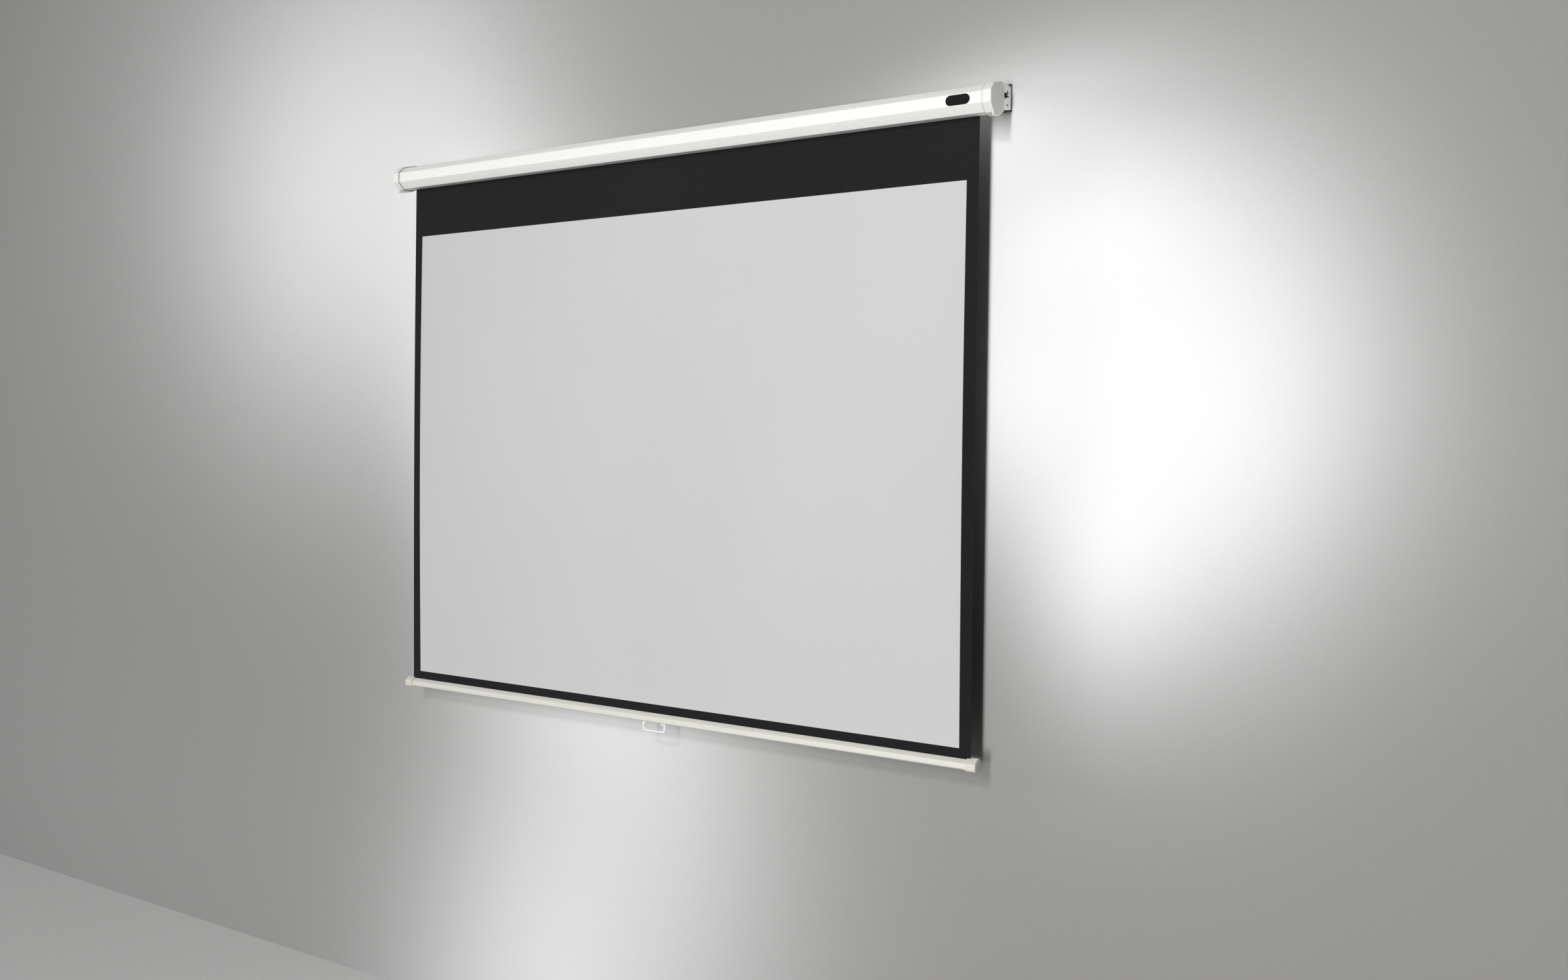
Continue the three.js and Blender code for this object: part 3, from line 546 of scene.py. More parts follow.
def caseTube(given):
    half, wall, lip = place["caseHalf"], given["wall"], given["lip"]
    slot = place["fabricY"] - place["axisY"]
    frontLip, rearLip = slot - given["slotHalf"], slot + given["slotHalf"]
    lipTop = lip - half
    rearZ = rearLip - half * eighth - half  # where the rear lip meets the sloping side
    hookZ = rearZ + lip + wall
    outer, inner = octagon(half), octagon(half - wall)
    section = [
        (frontLip, -half), (frontLip, lipTop), (frontLip - wall, lipTop), (frontLip - wall, wall - half),
        inner[0], *inner[:1:-1],
        (rearLip + wall, rearZ + wall * math.sqrt(2) + wall), (rearLip + wall, hookZ),
        (rearLip, hookZ), (rearLip, rearZ), *outer[2:], outer[0],
    ]
    fold, hem, edge = given["fold"], wall * given["hemShare"], given["lipEdge"]
    radii = [wall, hem, hem, edge] + [fold - wall] * 7 + [edge, hem, hem, wall] + [fold] * 7
    outline = aboutAxis(rounded(section, radii, given["foldSteps"]))
    return prism(outline, -place["caseEnd"], place["caseEnd"], "case_tube")


def capScrewAt(sign):
    return sign * (place["caseEnd"] - caseSet["screwInset"]), place["axisY"] + caseSet["screwPlace"]


def screwHole(sign):
    return rodAlongZ(*capScrewAt(sign), caseSet["screwHole"], *caseSet["screwHoleZ"])


def addCase(given):
    tube = caseTube(given)
    combine(tube, "DIFFERENCE", [screwHole(sign) for _, sign in ends])
    settle(tube, "case", "casePaint", "case_paint", ["case_shell"])


addCase(caseSet)
print("case ready")

capSet = {
    "front": 34.75,
    "heelReach": 21,
    "rear": 53,
    "rearFoot": -18,
    "shoulder": 40,
    "crest": (38, 49.5),
    "chin": (-17, -43),
    "corner": 5.5,
    "chinRound": 2.4,
    "chinTaper": 0.6,  # of the inset
    "roundSteps": 6,
    "edge": 1.7,
    "edgeSteps": 5,
    "plateBack": 972.4,
    "face": 976.0,
    "pocket": 973.8,
    "skin": 2.2,
    "neck": (12, 60, -13.8, 31.3),
    "rimEdge": 0.45,
}


def skirtOutline(given):
    front, rear = given["front"], given["rear"]
    side = front * eighth
    return [
        (-side, -front), (given["heelReach"], -front), (rear, given["rearFoot"]), (rear, given["shoulder"]),
        given["crest"], (-side, front), (-front, side), (-front, -side),
    ]


def endPlateRings(given, sign):  # the skirt's outline with the chin, rounded towards both faces
    corner, *others = skirtOutline(given)
    outline = [corner, given["chin"], *others]
    levels = []
    for depth, inset in quarterRound(given["edge"], given["edgeSteps"]):
        levels += [(given["plateBack"] + depth, inset), (given["face"] - depth, inset)]
    rings = []
    for x, inset in sorted(levels):
        radii = [given["chinRound"] + inset, given["chinRound"] - inset * given["chinTaper"]]
        radii += [given["corner"] - inset] * len(others)
        rings.append((sign * x, aboutAxis(rounded(grown(outline, -inset), radii, given["roundSteps"]))))
    return rings


def endCap(given, name, sign):
    half, gap = place["caseHalf"], place["gap"]
    middle = (given["plateBack"] + given["face"]) / 2
    outline = skirtOutline(given)
    skirt = aboutAxis(rounded(outline, [given["corner"]] * len(outline), given["roundSteps"]))
    cap = loft(f"end_cap_moulding_{name}", [(sign * place["capRim"], skirt), (sign * middle, skirt)])
    combine(cap, "UNION", [loft("end_plate", endPlateRings(given, sign))])
    past = sign * (place["capRim"] - place["past"])
    seat = sign * (place["plateFace"] + gap)
    cutters = [
        prism(aboutAxis(octagon(half + gap)), past, seat),
        prism(aboutAxis(octagon(half - given["skin"])), past, sign * given["pocket"]),
        prism(aboutAxis(box(*given["neck"])), past, seat),
        screwHole(sign),
    ]
    combine(cap, "DIFFERENCE", cutters)
    softened(cap, given["rimEdge"])
    settle(cap, "case", "capPlastic", "cap_plastic", [f"end_cap_{name}"], smooth=28)


for sideName, sideSign in ends:
    endCap(capSet, sideName, sideSign)
print("end caps ready")

plateSet = {
    "middle": (892.8, -0.6),
    "size": (61.0, 24.6),
    "thick": 0.9,
    "edge": 0.35,
    "bevel": 0.3,  # of the edge
    "rim": 1.1,
    "sink": 0.18,
    "stand": 0.02,
    "steps": 24,
}


def pill(width, height, steps):
    radius = height / 2
    run = width / 2 - radius
    return arc((run, 0), radius, -90, 90, steps) + arc((-run, 0), radius, 90, 270, steps)


def addPlate(given):
    front = place["axisY"] - place["caseHalf"] - given["stand"]
    (middleX, middleZ), (width, height) = given["middle"], given["size"]
    thick, edge, rim, sink = given["thick"], given["edge"], given["rim"], given["sink"]
    cut = edge * given["bevel"]
    levels = [(0, 0), (0, thick - edge), (cut, thick - cut), (edge, thick)]
    levels += [(edge + rim, thick), (edge + rim + sink, thick - sink)]
    rings = [(depth, pill(width - 2 * inset, height - 2 * inset, given["steps"])) for inset, depth in levels]
    points = [(middleX + x, front - depth, middleZ + z) for depth, outline in rings for x, z in outline]
    plate = newPiece("bare_plate", points, tubeFaces(len(rings), len(rings[0][1])))
    settle(plate, "case", "plate", "black_plastic")


addPlate(plateSet)
print("plate ready")

socketKinds = {float: "NodeSocketFloat", int: "NodeSocketInt", bpy.types.Material: "NodeSocketMaterial"}


def newTree(name, inputs):  # a group with named inputs, and a wire for each
    tree = bpy.data.node_groups.new(name, "GeometryNodeTree")
    for direction in ("INPUT", "OUTPUT"):
        tree.interface.new_socket("Geometry", in_out=direction, socket_type="NodeSocketGeometry")
    for key, value in inputs.items():
        made = tree.interface.new_socket(key, in_out="INPUT", socket_type=socketKinds[type(value)])
        if not isinstance(value, bpy.types.Material):
            made.default_value = value
    entry = tree.nodes.new("NodeGroupInput")
    wires = {output.name: Wire(tree, output) for output in entry.outputs if output.name}
    return tree, wires


def closeTree(shape, given):
    real = shape.node("GeometryNodeRealizeInstances", {0: shape})
    painted = real.node("GeometryNodeSetMaterial", {"Geometry": real, "Material": given["Material"]})
    shape.tree.links.new(painted.socket, shape.tree.nodes.new("NodeGroupOutput").inputs[0])


def grownPiece(name, tree, inputs, points=((0, 0, 0),), aims=None):
    piece = rawPiece(name, points)
    if aims:
        aimed = piece.data.attributes.new("aim", "FLOAT_VECTOR", "POINT")
        aimed.data.foreach_set("vector", [a for aim in aims for a in aim])
    step = piece.modifiers.new("grow", "NODES")
    step.node_group = tree
    for item in tree.interface.items_tree:
        if item.in_out == "INPUT" and item.name in inputs:
            step[item.identifier] = inputs[item.name]
    return applied(piece)


fabricSet = {
    "thick": 0.5,
    "belly": 11.0,
    "curl": 7.0,
    "curlBand": 90.0,
    "whiteWidth": 1800.0,
    "whiteThick": 0.16,
    "whiteLift": 0.34,
    "columns": 125,
    "rows": 103,
}


def fabricInputs(given, cloth, width, top, bottom, plane):
    sizes = {
        "Width": width, "Top": top, "Bottom": bottom, "Plane": plane,
        "Hang Top": -place["caseHalf"], "Hang Bottom": place["barTop"],
        "Belly": given["belly"], "Curl": given["curl"], "Curl Band": given["curlBand"],
        "Half Width": place["fabricHalf"],
    }
    return {**inMetres(sizes), "Columns": given["columns"], "Rows": given["rows"], "Material": finishes[cloth]}


def fabricTree(inputs):
    tree, given = newTree("hungFabric", inputs)
    top, bottom, band = given["Top"], given["Bottom"], given["Curl Band"]
    hangTop, hangBottom = given["Hang Top"], given["Hang Bottom"]
    grid = top.node("GeometryNodeMeshGrid", {
        "Size X": given["Width"], "Size Y": top - bottom,
        "Vertices X": given["Columns"], "Vertices Y": given["Rows"],
    })
    x, y, _ = top.node("GeometryNodeInputPosition").parts()
    z = y + (top + bottom) * 0.5
    share = ((hangTop - z) / (hangTop - hangBottom)).math("ADD", 0, clamp=True)
    into = ((x.math("ABSOLUTE") - given["Half Width"] + band) / band).math("MAXIMUM", 0)
    bow = (share * math.pi).math("SINE") * (given["Curl"] * into * into - given["Belly"])
    spot = z.node("ShaderNodeCombineXYZ", {0: x, 1: given["Plane"] + bow, 2: z})
    closeTree(grid.node("GeometryNodeSetPosition", {"Geometry": grid, "Position": spot}), given)
    return tree


def hangFabric(name, tree, inputs, thick):
    sheet = grownPiece(name, tree, inputs)
    wall = sheet.modifiers.new("thickness", "SOLIDIFY")
    wall.thickness = thick * mm
    wall.offset = 0
    return tidy(applied(sheet))


def addFabric(given):
    plane, top, bottom = place["fabricY"], place["whiteTop"], place["whiteBottom"]
    full, wide = 2 * place["fabricHalf"], given["whiteWidth"]
    black = fabricInputs(given, "blackCloth", full, 0, bottom, plane)
    white = fabricInputs(given, "whiteCloth", wide, top, bottom, plane - given["whiteLift"])
    tree = fabricTree(black)
    backing = hangFabric("black_backing", tree, black, given["thick"])
    settle(backing, "case", "blackCloth", "black_fabric", ["fabric_sheet"])
    field = hangFabric("white_field", tree, white, given["whiteThick"])
    settle(field, "case", "whiteCloth", "screen_fabric")
    for piece in (backing, field):
        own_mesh(piece)


addFabric(fabricSet)

hemSet = {  # the lower border ends in the hem that holds the rod
    "rod": 3.5,
    "thick": 0.5,
    "rodZ": -1558.27,
    "layerGap": 0.03,  # half the gap between the hem's two layers
    "hangSteps": 8,
    "turnRise": 0.8,
    "tailDrop": 0.6,
    "steps": 28,
}


def hangShare(z):  # 0 at the case's foot, 1 at the bar's top
    return min(max((-place["caseHalf"] - z) / (-place["caseHalf"] - place["barTop"]), 0), 1)


def hemPath(given):  # centreline from the white field down, round the rod and up behind
    plane, foot, top = place["fabricY"], place["whiteBottom"], place["barTop"]
    loop = given["rod"] + place["gap"] + given["thick"] / 2
    layer = given["thick"] / 2 + given["layerGap"]
    rise = math.sqrt(loop * loop - layer * layer)
    path = []
    for step in range(given["hangSteps"]):
        share = step / given["hangSteps"]
        z = foot + (top - foot) * share
        bow = -fabricSet["belly"] * math.sin(math.pi * hangShare(z))
        path.append((plane + bow - layer * share, z))
    path += [(plane - layer, top), (plane - layer, given["rodZ"] + rise + given["turnRise"])]
    rest = math.degrees(math.atan2(rise, layer))
    path += arc((plane, given["rodZ"]), loop, 180 - rest, 360 + rest, given["steps"])
    path.append((plane + layer, top - given["tailDrop"]))
    return path


def heading(path, i):  # the path's direction at its point i
    return (Vector(path[min(i + 1, len(path) - 1)]) - Vector(path[max(i - 1, 0)])).normalized()


def pathLength(path):
    return sum(math.dist(a, b) for a, b in zip(path, path[1:]))


def ribbon(name, path, thick, halfWidth, columns, bow=None):
    left, right = [], []
    for i, point in enumerate(path):
        along = heading(path, i)
        out = Vector((-along.y, along.x)) * thick / 2
        left.append(Vector(point) + out)
        right.append(Vector(point) - out)
    outline = left + right[::-1]
    rings = []
    for column in range(columns + 1):
        x = -halfWidth + 2 * halfWidth * column / columns
        rings.append((x, [(p.x + (bow(x, p.y) if bow else 0), p.y) for p in outline]))
    return loft(name, rings)


def curlAt(x, z):
    band = fabricSet["curlBand"]
    into = max(abs(x) - place["fabricHalf"] + band, 0) / band
    return math.sin(math.pi * hangShare(z)) * fabricSet["curl"] * into * into


def addHem(given):
    path = hemPath(given)
    columns = fabricSet["columns"] - 1
    hem = ribbon("lower_border_hem", path, given["thick"], place["fabricHalf"], columns, curlAt)
    settle(hem, "bar", "blackCloth", "black_fabric", ["fabric_hem"])
    length = pathLength(path)
    print(f"hem's cut length {length:.1f} mm")


addHem(hemSet)

woundSet = {  # turns of fabric that stay on the roller
    "inner": 14.5,
    "outer": 15.34,
    "turns": 1.75,
    "thick": 0.4,
    "slack": 0.04,
    "steps": 96,
    "columns": 4,
}


def addWound(given):
    path = []
    total = int(given["steps"] * given["turns"])
    low = given["inner"] + given["thick"] / 2
    high = given["outer"] - given["thick"] / 2
    for step in range(total + 1):
        share = step / total
        angle = -2 * math.pi * given["turns"] * (1 - share)
        radius = low + (high - low) * share
        path.append((place["axisY"] + radius * math.cos(angle), radius * math.sin(angle)))
    roll = ribbon("wound_fabric", path, given["thick"] - given["slack"], place["fabricHalf"], given["columns"])
    settle(roll, "roller", "blackCloth", "black_fabric", ["fabric_roll"], smooth=60)
    length = pathLength(path)
    print(f"wound length {length:.1f} mm")


addWound(woundSet)
print("fabric ready")

barSet = {
    "front": 16.0,
    "rear": 14.0,
    "crownHalf": 4.2,
    "crownRound": 1.6,
    "ridgeDrop": 8.5,
    "ridgeRound": 3.4,
    "corner": 3.0,
    "leastRound": 0.3,
    "roundSteps": 5,
    "wall": 1.3,
    "slotHalf": 2.4,
    "slotZ": (-3, 5),
    "end": 935.7,
    "heelSteps": 20,
    "stemHole": 2.9,
    "stemHoleZ": (-5, 4),
    "lugX": 28.1,
    "edge": 0.25,
}


def barOutline(given):
    front, rear, crown, height = given["front"], given["rear"], given["crownHalf"], place["barHeight"]
    heel = arc((0, 0), 1, -90, 90, given["heelSteps"])
    back = [(crown + (rear - crown) * y, height / 2 * (z - 1)) for y, z in heel]
    corner = given["corner"]
    return [
        (-front, corner - height), (corner - front, -height), *back,
        (-crown, 0), (-front, -given["ridgeDrop"]),
    ]


def barRing(given, distance):
    outline = grown(barOutline(given), distance)

    def bend(size):
        return max(size + distance, given["leastRound"])

    radii = [bend(given["corner"])] * 2 + [0.0] * (len(outline) - 4)
    radii += [bend(given["crownRound"]), bend(given["ridgeRound"])]
    return onBar(rounded(outline, radii, given["roundSteps"]))


def addBar(given):
    end, slot = given["end"], given["slotHalf"]
    past = end + place["past"]
    foot = place["barTop"] - place["barHeight"]
    body = prism(barRing(given, 0), -end, end, "weight_bar_extrusion")
    cutters = [
        prism(barRing(given, -given["wall"]), -past, past),
        prism(onBar(box(-slot, slot, *given["slotZ"])), -past, past),
    ]
    below, above = given["stemHoleZ"]
    for _, sign in ends:
        x = sign * given["lugX"]
        cutters.append(rodAlongZ(x, place["fabricY"], given["stemHole"], foot + below, foot + above))
    combine(body, "DIFFERENCE", cutters)
    softened(body, given["edge"])
    settle(body, "bar", "shadedBarPaint", "bar_paint", ["weight_bar"], smooth=28)


addBar(barSet)

barCapSet = {
    "skin": 3.0,
    "rim": 922.0,
    "face": 948.0,
    "edge": 1.8,
    "edgeSteps": 4,
    "notchEnd": 932.0,
    "notchZ": (-1.3, 9),
    "rimEdge": 0.4,
}


def barCap(given, name, sign):
    gap, slot = place["gap"], barSet["slotHalf"]
    rings = [(sign * given["rim"], barRing(barSet, given["skin"]))]
    for depth, inset in quarterRound(given["edge"], given["edgeSteps"]):
        rings.append((sign * (given["face"] - depth), barRing(barSet, given["skin"] - inset)))
    cap = loft(f"bar_cap_moulding_{name}", rings)
    past = sign * (given["rim"] - place["past"])
    cutters = [
        prism(barRing(barSet, gap), past, sign * (barSet["end"] + gap)),
        prism(onBar(box(-slot, slot, *given["notchZ"])), past, sign * given["notchEnd"]),
    ]
    combine(cap, "DIFFERENCE", cutters)
    softened(cap, given["rimEdge"])
    settle(cap, "bar", "shadedBarCapPlastic", "cap_plastic", [f"bar_cap_{name}"], smooth=28)


for sideName, sideSign in ends:
    barCap(barCapSet, sideName, sideSign)
print("weight bar ready")

handleSet = {
    "wire": 2.75,
    "halfWidth": 36.0,
    "drop": 22.5,
    "corner": 8.0,
    "cornerSteps": 12,
    "bend": 4.4,
    "bendSteps": 8,
    "lead": 1.0,
    "sides": 24,
    "boreGap": 0.45,
    "boreSides": 32,
    "lugWidth": 6.0,
    "lugRadius": 4.6,
    "lugSteps": 24,
    "lugEdge": 1.0,
    "lugSoft": 0.5,
    "stem": 2.6,
    "stemZ": (-0.6, 2.0),  # from the bar's foot
    "stemHead": 3.6,
    "headZ": (1.6, 3.1),
}


def handlePath(given):
    side, bend, corner = given["halfWidth"], given["bend"], given["corner"]
    top = place["pivotZ"]
    bottom = top - given["drop"]
    end = barSet["lugX"] - given["lugWidth"] / 2
    right = [(end, top), (end + given["lead"], top)]
    right += arc((side - bend, top - bend), bend, 90, 0, given["bendSteps"])
    right += arc((side - corner, bottom + corner), corner, 0, -90, given["cornerSteps"])
    return right + [(-x, z) for x, z in reversed(right)]


def addHandle(given):
    path = handlePath(given)
    points = []
    for i, (x, z) in enumerate(path):
        along = heading(path, i)
        for across, depth in circle(given["wire"], given["sides"]):
            points.append((x - along.y * across, place["fabricY"] + depth, z + along.x * across))
    wire = newPiece("handle_wire", points, tubeFaces(len(path), given["sides"]))
    settle(wire, "handle", "handleCoat", "handle_coat", ["pull_handle"], smooth=50)


def addLug(given, name, sign):
    x, y, pivot = sign * barSet["lugX"], place["fabricY"], place["pivotZ"]
    foot = place["barTop"] - place["barHeight"]
    radius, edge, half = given["lugRadius"], given["lugEdge"], given["lugWidth"] / 2
    rise = foot - place["gap"] - pivot
    section = arc((0, 0), radius, 180, 360, given["lugSteps"])
    section += [(radius, rise - edge), (radius - edge, rise), (edge - radius, rise), (-radius, rise - edge)]
    lug = prism(shifted(section, y, pivot), x - half, x + half, f"handle_lug_moulding_{name}")
    bore = circle(given["wire"] + given["boreGap"], given["boreSides"], y, pivot)
    past = half + place["past"]
    combine(lug, "DIFFERENCE", [prism(bore, x - past, x + past)])
    softened(lug, given["lugSoft"], segments=3, angle=40)
    for radius, (low, high) in ((given["stem"], given["stemZ"]), (given["stemHead"], given["headZ"])):
        combine(lug, "UNION", [rodAlongZ(x, y, radius, foot + low, foot + high)])
    settle(lug, "bar", "handleCoat", "handle_coat", [f"handle_lug_{name}"])


addHandle(handleSet)
for sideName, sideSign in ends:
    addLug(handleSet, sideName, sideSign)
print("handle ready")

headSet = {
    "pan": {"sides": 32, "swell": 1.25, "top": 1.0},
    "hex": {"sides": 6, "swell": 1.9, "top": 1.1},
    "recess": (1.15, 0.26),  # length and width, shares of the head's radius
    "recessTop": 0.95,
    "core": 0.94,
    "coreSides": 24,
    "ballSides": 48,
    "headRings": 32,
    "nutRings": 48,
    "boreSides": 32,
    "borePast": 3,  # times the ring's height
    "sink": 0.1,  # of the shank into the head, in millimetres
    "threaded": 0.9,
    "tooth": 0.36,  # of the pitch
    "toothSides": 4,
    "threadSteps": 18,  # each turn
    "nutSwell": 1.06,
}


def solidNode(kind, values, move, turn=(0, 0, 0)):
    made = move.node(kind, values, "Mesh")
    return made.node("GeometryNodeTransform", {"Geometry": made, "Translation": move, "Rotation": turn})


def alongZ(z):
    return z.node("ShaderNodeCombineXYZ", {"Z": z})


def barrel(sides, radius, depth, middle):
    values = {"Vertices": sides, "Radius": radius, "Depth": depth}
    return solidNode("GeometryNodeMeshCylinder", values, alongZ(middle))


def ball(rings, radius, middle):
    values = {"Segments": headSet["ballSides"], "Rings": rings, "Radius": radius}
    return solidNode("GeometryNodeMeshUVSphere", values, alongZ(middle))


def joinedBy(operation, first, others):
    values = {"Mesh 2": [first, *others]}
    if operation == "DIFFERENCE":
        values = {"Mesh 1": first, "Mesh 2": others}
    return first.node("GeometryNodeMeshBoolean", values, "Mesh", operation=operation, solver="EXACT")


def threaded(shank, pitch, length):
    spiral = shank.node("GeometryNodeCurveSpiral", {
        "Resolution": headSet["threadSteps"], "Rotations": length / pitch, "Height": length,
        "Start Radius": shank, "End Radius": shank,
    })
    values = {"Resolution": headSet["toothSides"], "Radius": pitch * headSet["tooth"]}
    tooth = pitch.node("GeometryNodeCurvePrimitiveCircle", values)
    values = {"Curve": spiral, "Profile Curve": tooth, "Fill Caps": True}
    return spiral.node("GeometryNodeCurveToMesh", values)


def placed(shape, given):  # one copy on every point, turned as its "aim" says
    aim = shape.node("GeometryNodeInputNamedAttribute", {"Name": "aim"}, data_type="FLOAT_VECTOR")
    values = {"Points": given["Geometry"], "Instance": shape, "Rotation": aim}
    return shape.node("GeometryNodeInstanceOnPoints", values)


def screwTree(name, head, sizes):
    tree, given = newTree(name, {**inMetres(sizes), "Material": finishes["zinc"]})
    wide, high = given["Head Radius"], given["Head Height"]
    shank, length = given["Shank Radius"], given["Length"]
    form = headSet[head]
    block = barrel(form["sides"], wide, high, high * 0.5)
    swell = wide * form["swell"]
    top = joinedBy("INTERSECT", block, [ball(headSet["headRings"], swell, high * form["top"] - swell)])
    if head == "pan":
        bars = []
        long, narrow = headSet["recess"]
        for turn in (0, math.pi / 2):
            size = wide.node("ShaderNodeCombineXYZ", {0: wide * long, 1: wide * narrow, 2: high})
            lift = alongZ(high * headSet["recessTop"])
            bars.append(solidNode("GeometryNodeMeshCube", {"Size": size}, lift, (0, 0, turn)))
        top = joinedBy("DIFFERENCE", top, bars)
    rod = barrel(headSet["coreSides"], shank * headSet["core"], length, length * -0.5 + headSet["sink"] * mm)
    thread = length.node("GeometryNodeTransform", {
        "Geometry": threaded(shank, given["Pitch"], length * headSet["threaded"]),
        "Translation": alongZ(length * -1),
    })
    screw = top.node("GeometryNodeJoinGeometry", {0: [top, rod, thread]})
    closeTree(placed(screw, given), given)
    return tree


def ringTree(name, sides, sizes):
    tree, given = newTree(name, {**inMetres(sizes), "Material": finishes["zinc"]})
    wide, high = given["Radius"], given["Height"]
    middle = high * 0.5
    block = barrel(sides, wide, high, middle)
    if sides == 6:
        block = joinedBy("INTERSECT", block, [ball(headSet["nutRings"], wide * headSet["nutSwell"], middle)])
    bore = barrel(headSet["boreSides"], given["Bore"], high * headSet["borePast"], middle)
    ring = joinedBy("DIFFERENCE", block, [bore])
    closeTree(placed(ring, given), given)
    return tree


fastenerSet = {
    "boltY": -44.0,
    "boltZ": 25.0,
    "boltSeat": 966.4,
    "screwZ": {"upper": 20, "lower": -14},
    "capScrew": {"Head Radius": 3.3, "Head Height": 2.2, "Shank Radius": 1.5, "Length": 14.0, "Pitch": 1.3},
    "plateScrew": {"Head Radius": 3.3, "Head Height": 1.7, "Shank Radius": 1.5, "Length": 11.0, "Pitch": 1.3},
    "bolt": {"Head Radius": 5.8, "Head Height": 4.0, "Shank Radius": 2.75, "Length": 14.0, "Pitch": 1.0},
    "nut": {"Radius": 5.8, "Height": 4.8, "Bore": 3.05},
    "washer": {"Radius": 6.6, "Height": 1.5, "Bore": 3.3},
}


def addFasteners(given):
    quarter = math.pi / 2
    right, left, down = (0, quarter, 0), (0, -quarter, 0), (math.pi, 0, 0)
    outward, inward = [left, right], [right, left]
    pan = screwTree("panScrew", "pan", given["capScrew"])
    hexBolt = screwTree("hexBolt", "hex", given["bolt"])
    nut = ringTree("hexNut", 6, given["nut"])
    washer = ringTree("flatWasher", 64, given["washer"])
    steel, black = ("zinc", "zinc_steel"), ("blackSteel", "black_steel")

    def make(name, tree, sizes, points, aims, look, nodes):
        finish, slot = look
        inputs = {**inMetres(sizes), "Material": finishes[finish]}
        settle(grownPiece(name, tree, inputs, points, aims), "case", finish, slot, nodes, smooth=35)

    def atBolts(x):
        return [(sign * x, given["boltY"], given["boltZ"]) for _, sign in ends]

    def nodesOf(kind):
        return [f"{kind}_{side}" for side, _ in ends]

    seat = -(capSet["front"] + place["gap"])
    make(
        "cap_screws", pan, given["capScrew"], [(*capScrewAt(sign), seat) for _, sign in ends],
        [down] * 2, steel, nodesOf("cap_screw"),
    )
    plate = place["plateFace"] + place["gap"]
    make(
        "plate_screws", pan, given["plateScrew"],
        [(sign * plate, place["axisY"], z) for _, sign in ends for z in given["screwZ"].values()],
        [left, left, right, right], steel,
        [f"plate_screw_{side}_{at}" for side, _ in ends for at in given["screwZ"]],
    )
    make(
        "bracket_bolts", hexBolt, given["bolt"], atBolts(given["boltSeat"]), inward, steel,
        nodesOf("bracket_bolt"),
    )
    make("bracket_washers", washer, given["washer"], atBolts(plate), outward, black, nodesOf("bracket_washer"))
    nutAt = plate + given["washer"]["Height"] + place["gap"]
    make("bracket_nuts", nut, given["nut"], atBolts(nutAt), outward, black, nodesOf("bracket_nut"))


addFasteners(fastenerSet)
print("fasteners ready")

copySet = {  # pieces that keep their solid's shape, with softened edges
    "hanger_plate": ("zinc", "zinc_steel", 0.35),
    "wall_bracket": ("blackSteel", "black_steel", 0.4),
    "end_block": ("nylon", "black_plastic", 0.3),
}
innerSet = {  # solids that are shown as they are
    "tube": ("roller_tube",),
    "nylon": ("lock_cartridge", "spring_hub", "support_bush", "idler_plug"),
    "zinc": ("spring_arbor", "idler_pin"),
    "darkSteel": ("torsion_spring", "hem_rod"),
}


def bevelledCopy(node, width):
    piece = bpy.data.objects.new(f"{node}_finished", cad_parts[node].data.copy())
    scene.collection.objects.link(piece)
    return softened(tidy(piece, reach=2e-6, flat=0.01), width, angle=40)


for kind, (finish, slot, width) in copySet.items():
    for sideName, _ in ends:
        node = f"{kind}_{sideName}"
        settle(bevelledCopy(node, width), "case", finish, slot, [node])

for finish, nodes in innerSet.items():
    for node in nodes:
        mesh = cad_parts[node].data
        mesh.materials.clear()
        mesh.materials.append(finishes[finish])
print("inner parts ready")

roomSet = {
    "wall": (0.33, 0.326, 0.321, 1),
    "glow": (0.98, 0.98, 0.98, 1),
    "pools": [  # painted pools of light on the wall: middle, reach, tilt in degrees, share
        ((1.44, -0.77), (0.33, 0.52), -10, 0.79),
        ((1.1, -0.66), (0.56, 0.4), -10, 1.0),
        ((1.24, -0.93), (0.18, 0.37), -7, 1.0),
        ((1.14, -0.36), (0.38, 0.32), 3, 1.0),
        ((0.82, -0.13), (0.41, 0.18), 19, 0.75),
        ((-0.55, -0.81), (1.15, 0.43), -65, 1.0),
        ((-1.46, 0.02), (0.81, 0.86), 52, 0.77),
        ((-2.74, 0.39), (1.18, 2.5), -23, 0.11),
        ((-2.97, -2.57), (2.5, 1.06), -4, 0.13),
        ((-0.46, -2.58), (0.59, 1.12), -12, 0.82),
    ],
    "wallGrain": (60, 0.02, 0.5),  # scale, tone and depth in millimetres
    "floor": (0.64, 0.635, 0.63, 1),
    "floorBounce": (0.2, 0.2, 0.2, 1),  # what lights the object from below
    "floorGrain": (45, 0.05, 0.4),
    "floorZ": -2600,
    "reach": 9000,
    "height": 4000,
    "behind": 1,
    "world": 0.02,  # light on the object
    "backdrop": 0.5,  # how the world shows
    "lamps": {  # place, aim, width and height in metres, share of full light at the aim
        "key_lamp": ((1.5, -7.0, -0.3), (0.5, 0, -0.5), (0.5, 3.4), 0.55),
        "high_lamp": ((1.3, -5.5, 1.5), (0.5, 0, -0.5), (0.7, 0.6), 0.21),
        "low_lamp": ((1.25, -6.0, -1.7), (0.2, 0, -0.8), (0.9, 1.0), 0.2),
        "rear_lamp": ((0.0, 6.0, 0.0), (0, 0, -0.7), (3.0, 2.0), 0.5),
        "left_lamp": ((-9.5, -3.6, 0.6), (-0.9, 0, -0.6), (2.5, 2.5), 0.24),
    },
}


def flatPiece(name, corners, material, shadow=True):
    piece = rawPiece(name, corners, [range(len(corners))])
    piece.data.materials.append(material)
    piece.visible_shadow = shadow


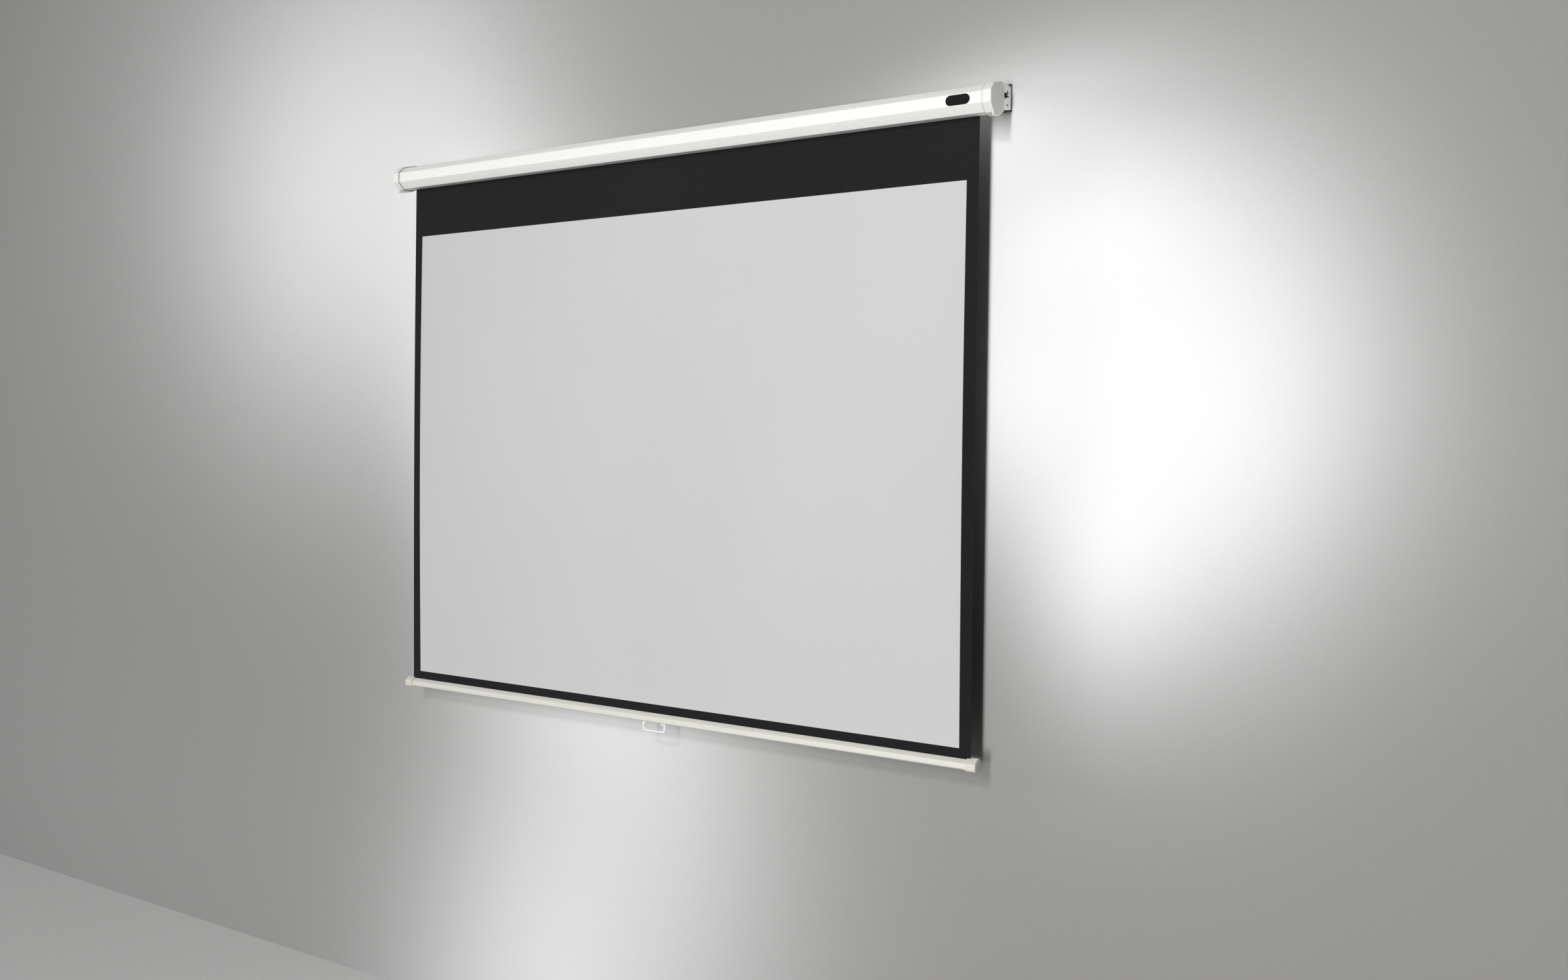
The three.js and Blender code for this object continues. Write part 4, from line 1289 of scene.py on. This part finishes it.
def oneSided(material, shader):  # clear from behind, for views from there
    tree = material.node_tree
    seen = tree.nodes.new("ShaderNodeNewGeometry")
    clear = tree.nodes.new("ShaderNodeBsdfTransparent")
    mix = tree.nodes.new("ShaderNodeMixShader")
    for source, target in zip((seen.outputs["Backfacing"], shader.outputs[0], clear.outputs[0]), mix.inputs):
        tree.links.new(source, target)
    tree.links.new(mix.outputs[0], tree.nodes["Material Output"].inputs[0])
    return material


def wallFinish(given):
    material, shader, coords = newFinish("wall_paint", {"Roughness": 0.9, "Specular IOR Level": 0.0})
    x, _, z = coords.parts()

    def pool(middle, reach, tilt, amount):
        cosine, sine = math.cos(math.radians(tilt)), math.sin(math.radians(tilt))
        overX, overZ = x - middle[0], z - middle[1]
        along = (overX * cosine + overZ * sine) / reach[0]
        across = (overZ * cosine - overX * sine) / reach[1]
        return ((along * along + across * across) * -1).math("EXPONENT") * amount

    # the wall's colour rises towards the glow under each painted pool of light
    unlit = math.prod(1 - pool(*values) for values in given["pools"])
    scale, tone, depth = given["wallGrain"]
    grain = coords.noise(scale, detail=4, roughness=0.6)
    lit = 1 - unlit + (grain - 0.5) * tone
    plug(shader, colour=lit.mixed(given["wall"], given["glow"]), normal=bump(grain, depth))
    return oneSided(material, shader)


def shown(tree):  # 1 for what the camera sees, also in metal and through glass
    path = tree.nodes.new("ShaderNodeLightPath").outputs
    kinds = ("Is Camera Ray", "Is Glossy Ray", "Is Transmission Ray")
    camera, glossy, through = [Wire(tree, path[kind]) for kind in kinds]
    return camera.math("MAXIMUM", glossy.math("MAXIMUM", through))


def floorFinish(given):
    material, shader, coords = newFinish("floor_paint", {"Roughness": 0.85, "Specular IOR Level": 0.0})
    scale, tone, depth = given["floorGrain"]
    grain = coords.noise(scale, detail=4, roughness=0.6)
    seen = grain.shaded(given["floor"], 1 - tone, 1 + tone)
    plug(shader, colour=shown(material.node_tree).mixed(given["floorBounce"], seen), normal=bump(grain, depth))
    return oneSided(material, shader)


def areaLight(name, spot, aim, size, share):
    data = bpy.data.lights.new(name, "AREA")
    data.shape = "RECTANGLE"
    data.size, data.size_y = size
    toward = Vector(aim) - Vector(spot)
    data.energy = share * math.pi ** 2 * toward.length_squared  # share 1 shows a colour as it is written
    lamp = bpy.data.objects.new(name, data)
    lamp.location = spot
    lamp.rotation_euler = toward.to_track_quat("-Z", "Y").to_euler()
    scene.collection.objects.link(lamp)


def addRoom(given):
    reach, low, high, behind = given["reach"], given["floorZ"], given["height"], given["behind"]
    wall = [(x, behind, z) for x, z in box(-reach, reach, low, high)]
    flatPiece("room_wall", wall, wallFinish(given), shadow=False)  # the lamp behind it lights the back
    floor = [(x, y, low) for x, y in box(-reach, reach, -reach, behind)]
    flatPiece("room_floor", floor, floorFinish(given))
    world = bpy.data.worlds.new("studio")
    scene.world = world
    world.use_nodes = True
    tree = world.node_tree
    backdrop = tree.nodes["Background"]
    backdrop.inputs["Color"].default_value = (1, 1, 1, 1)
    strength = shown(tree) * (given["backdrop"] - given["world"]) + given["world"]
    tree.links.new(strength.socket, backdrop.inputs["Strength"])
    for name, lamp in given["lamps"].items():
        areaLight(name, *lamp)


addRoom(roomSet)
print("room ready")
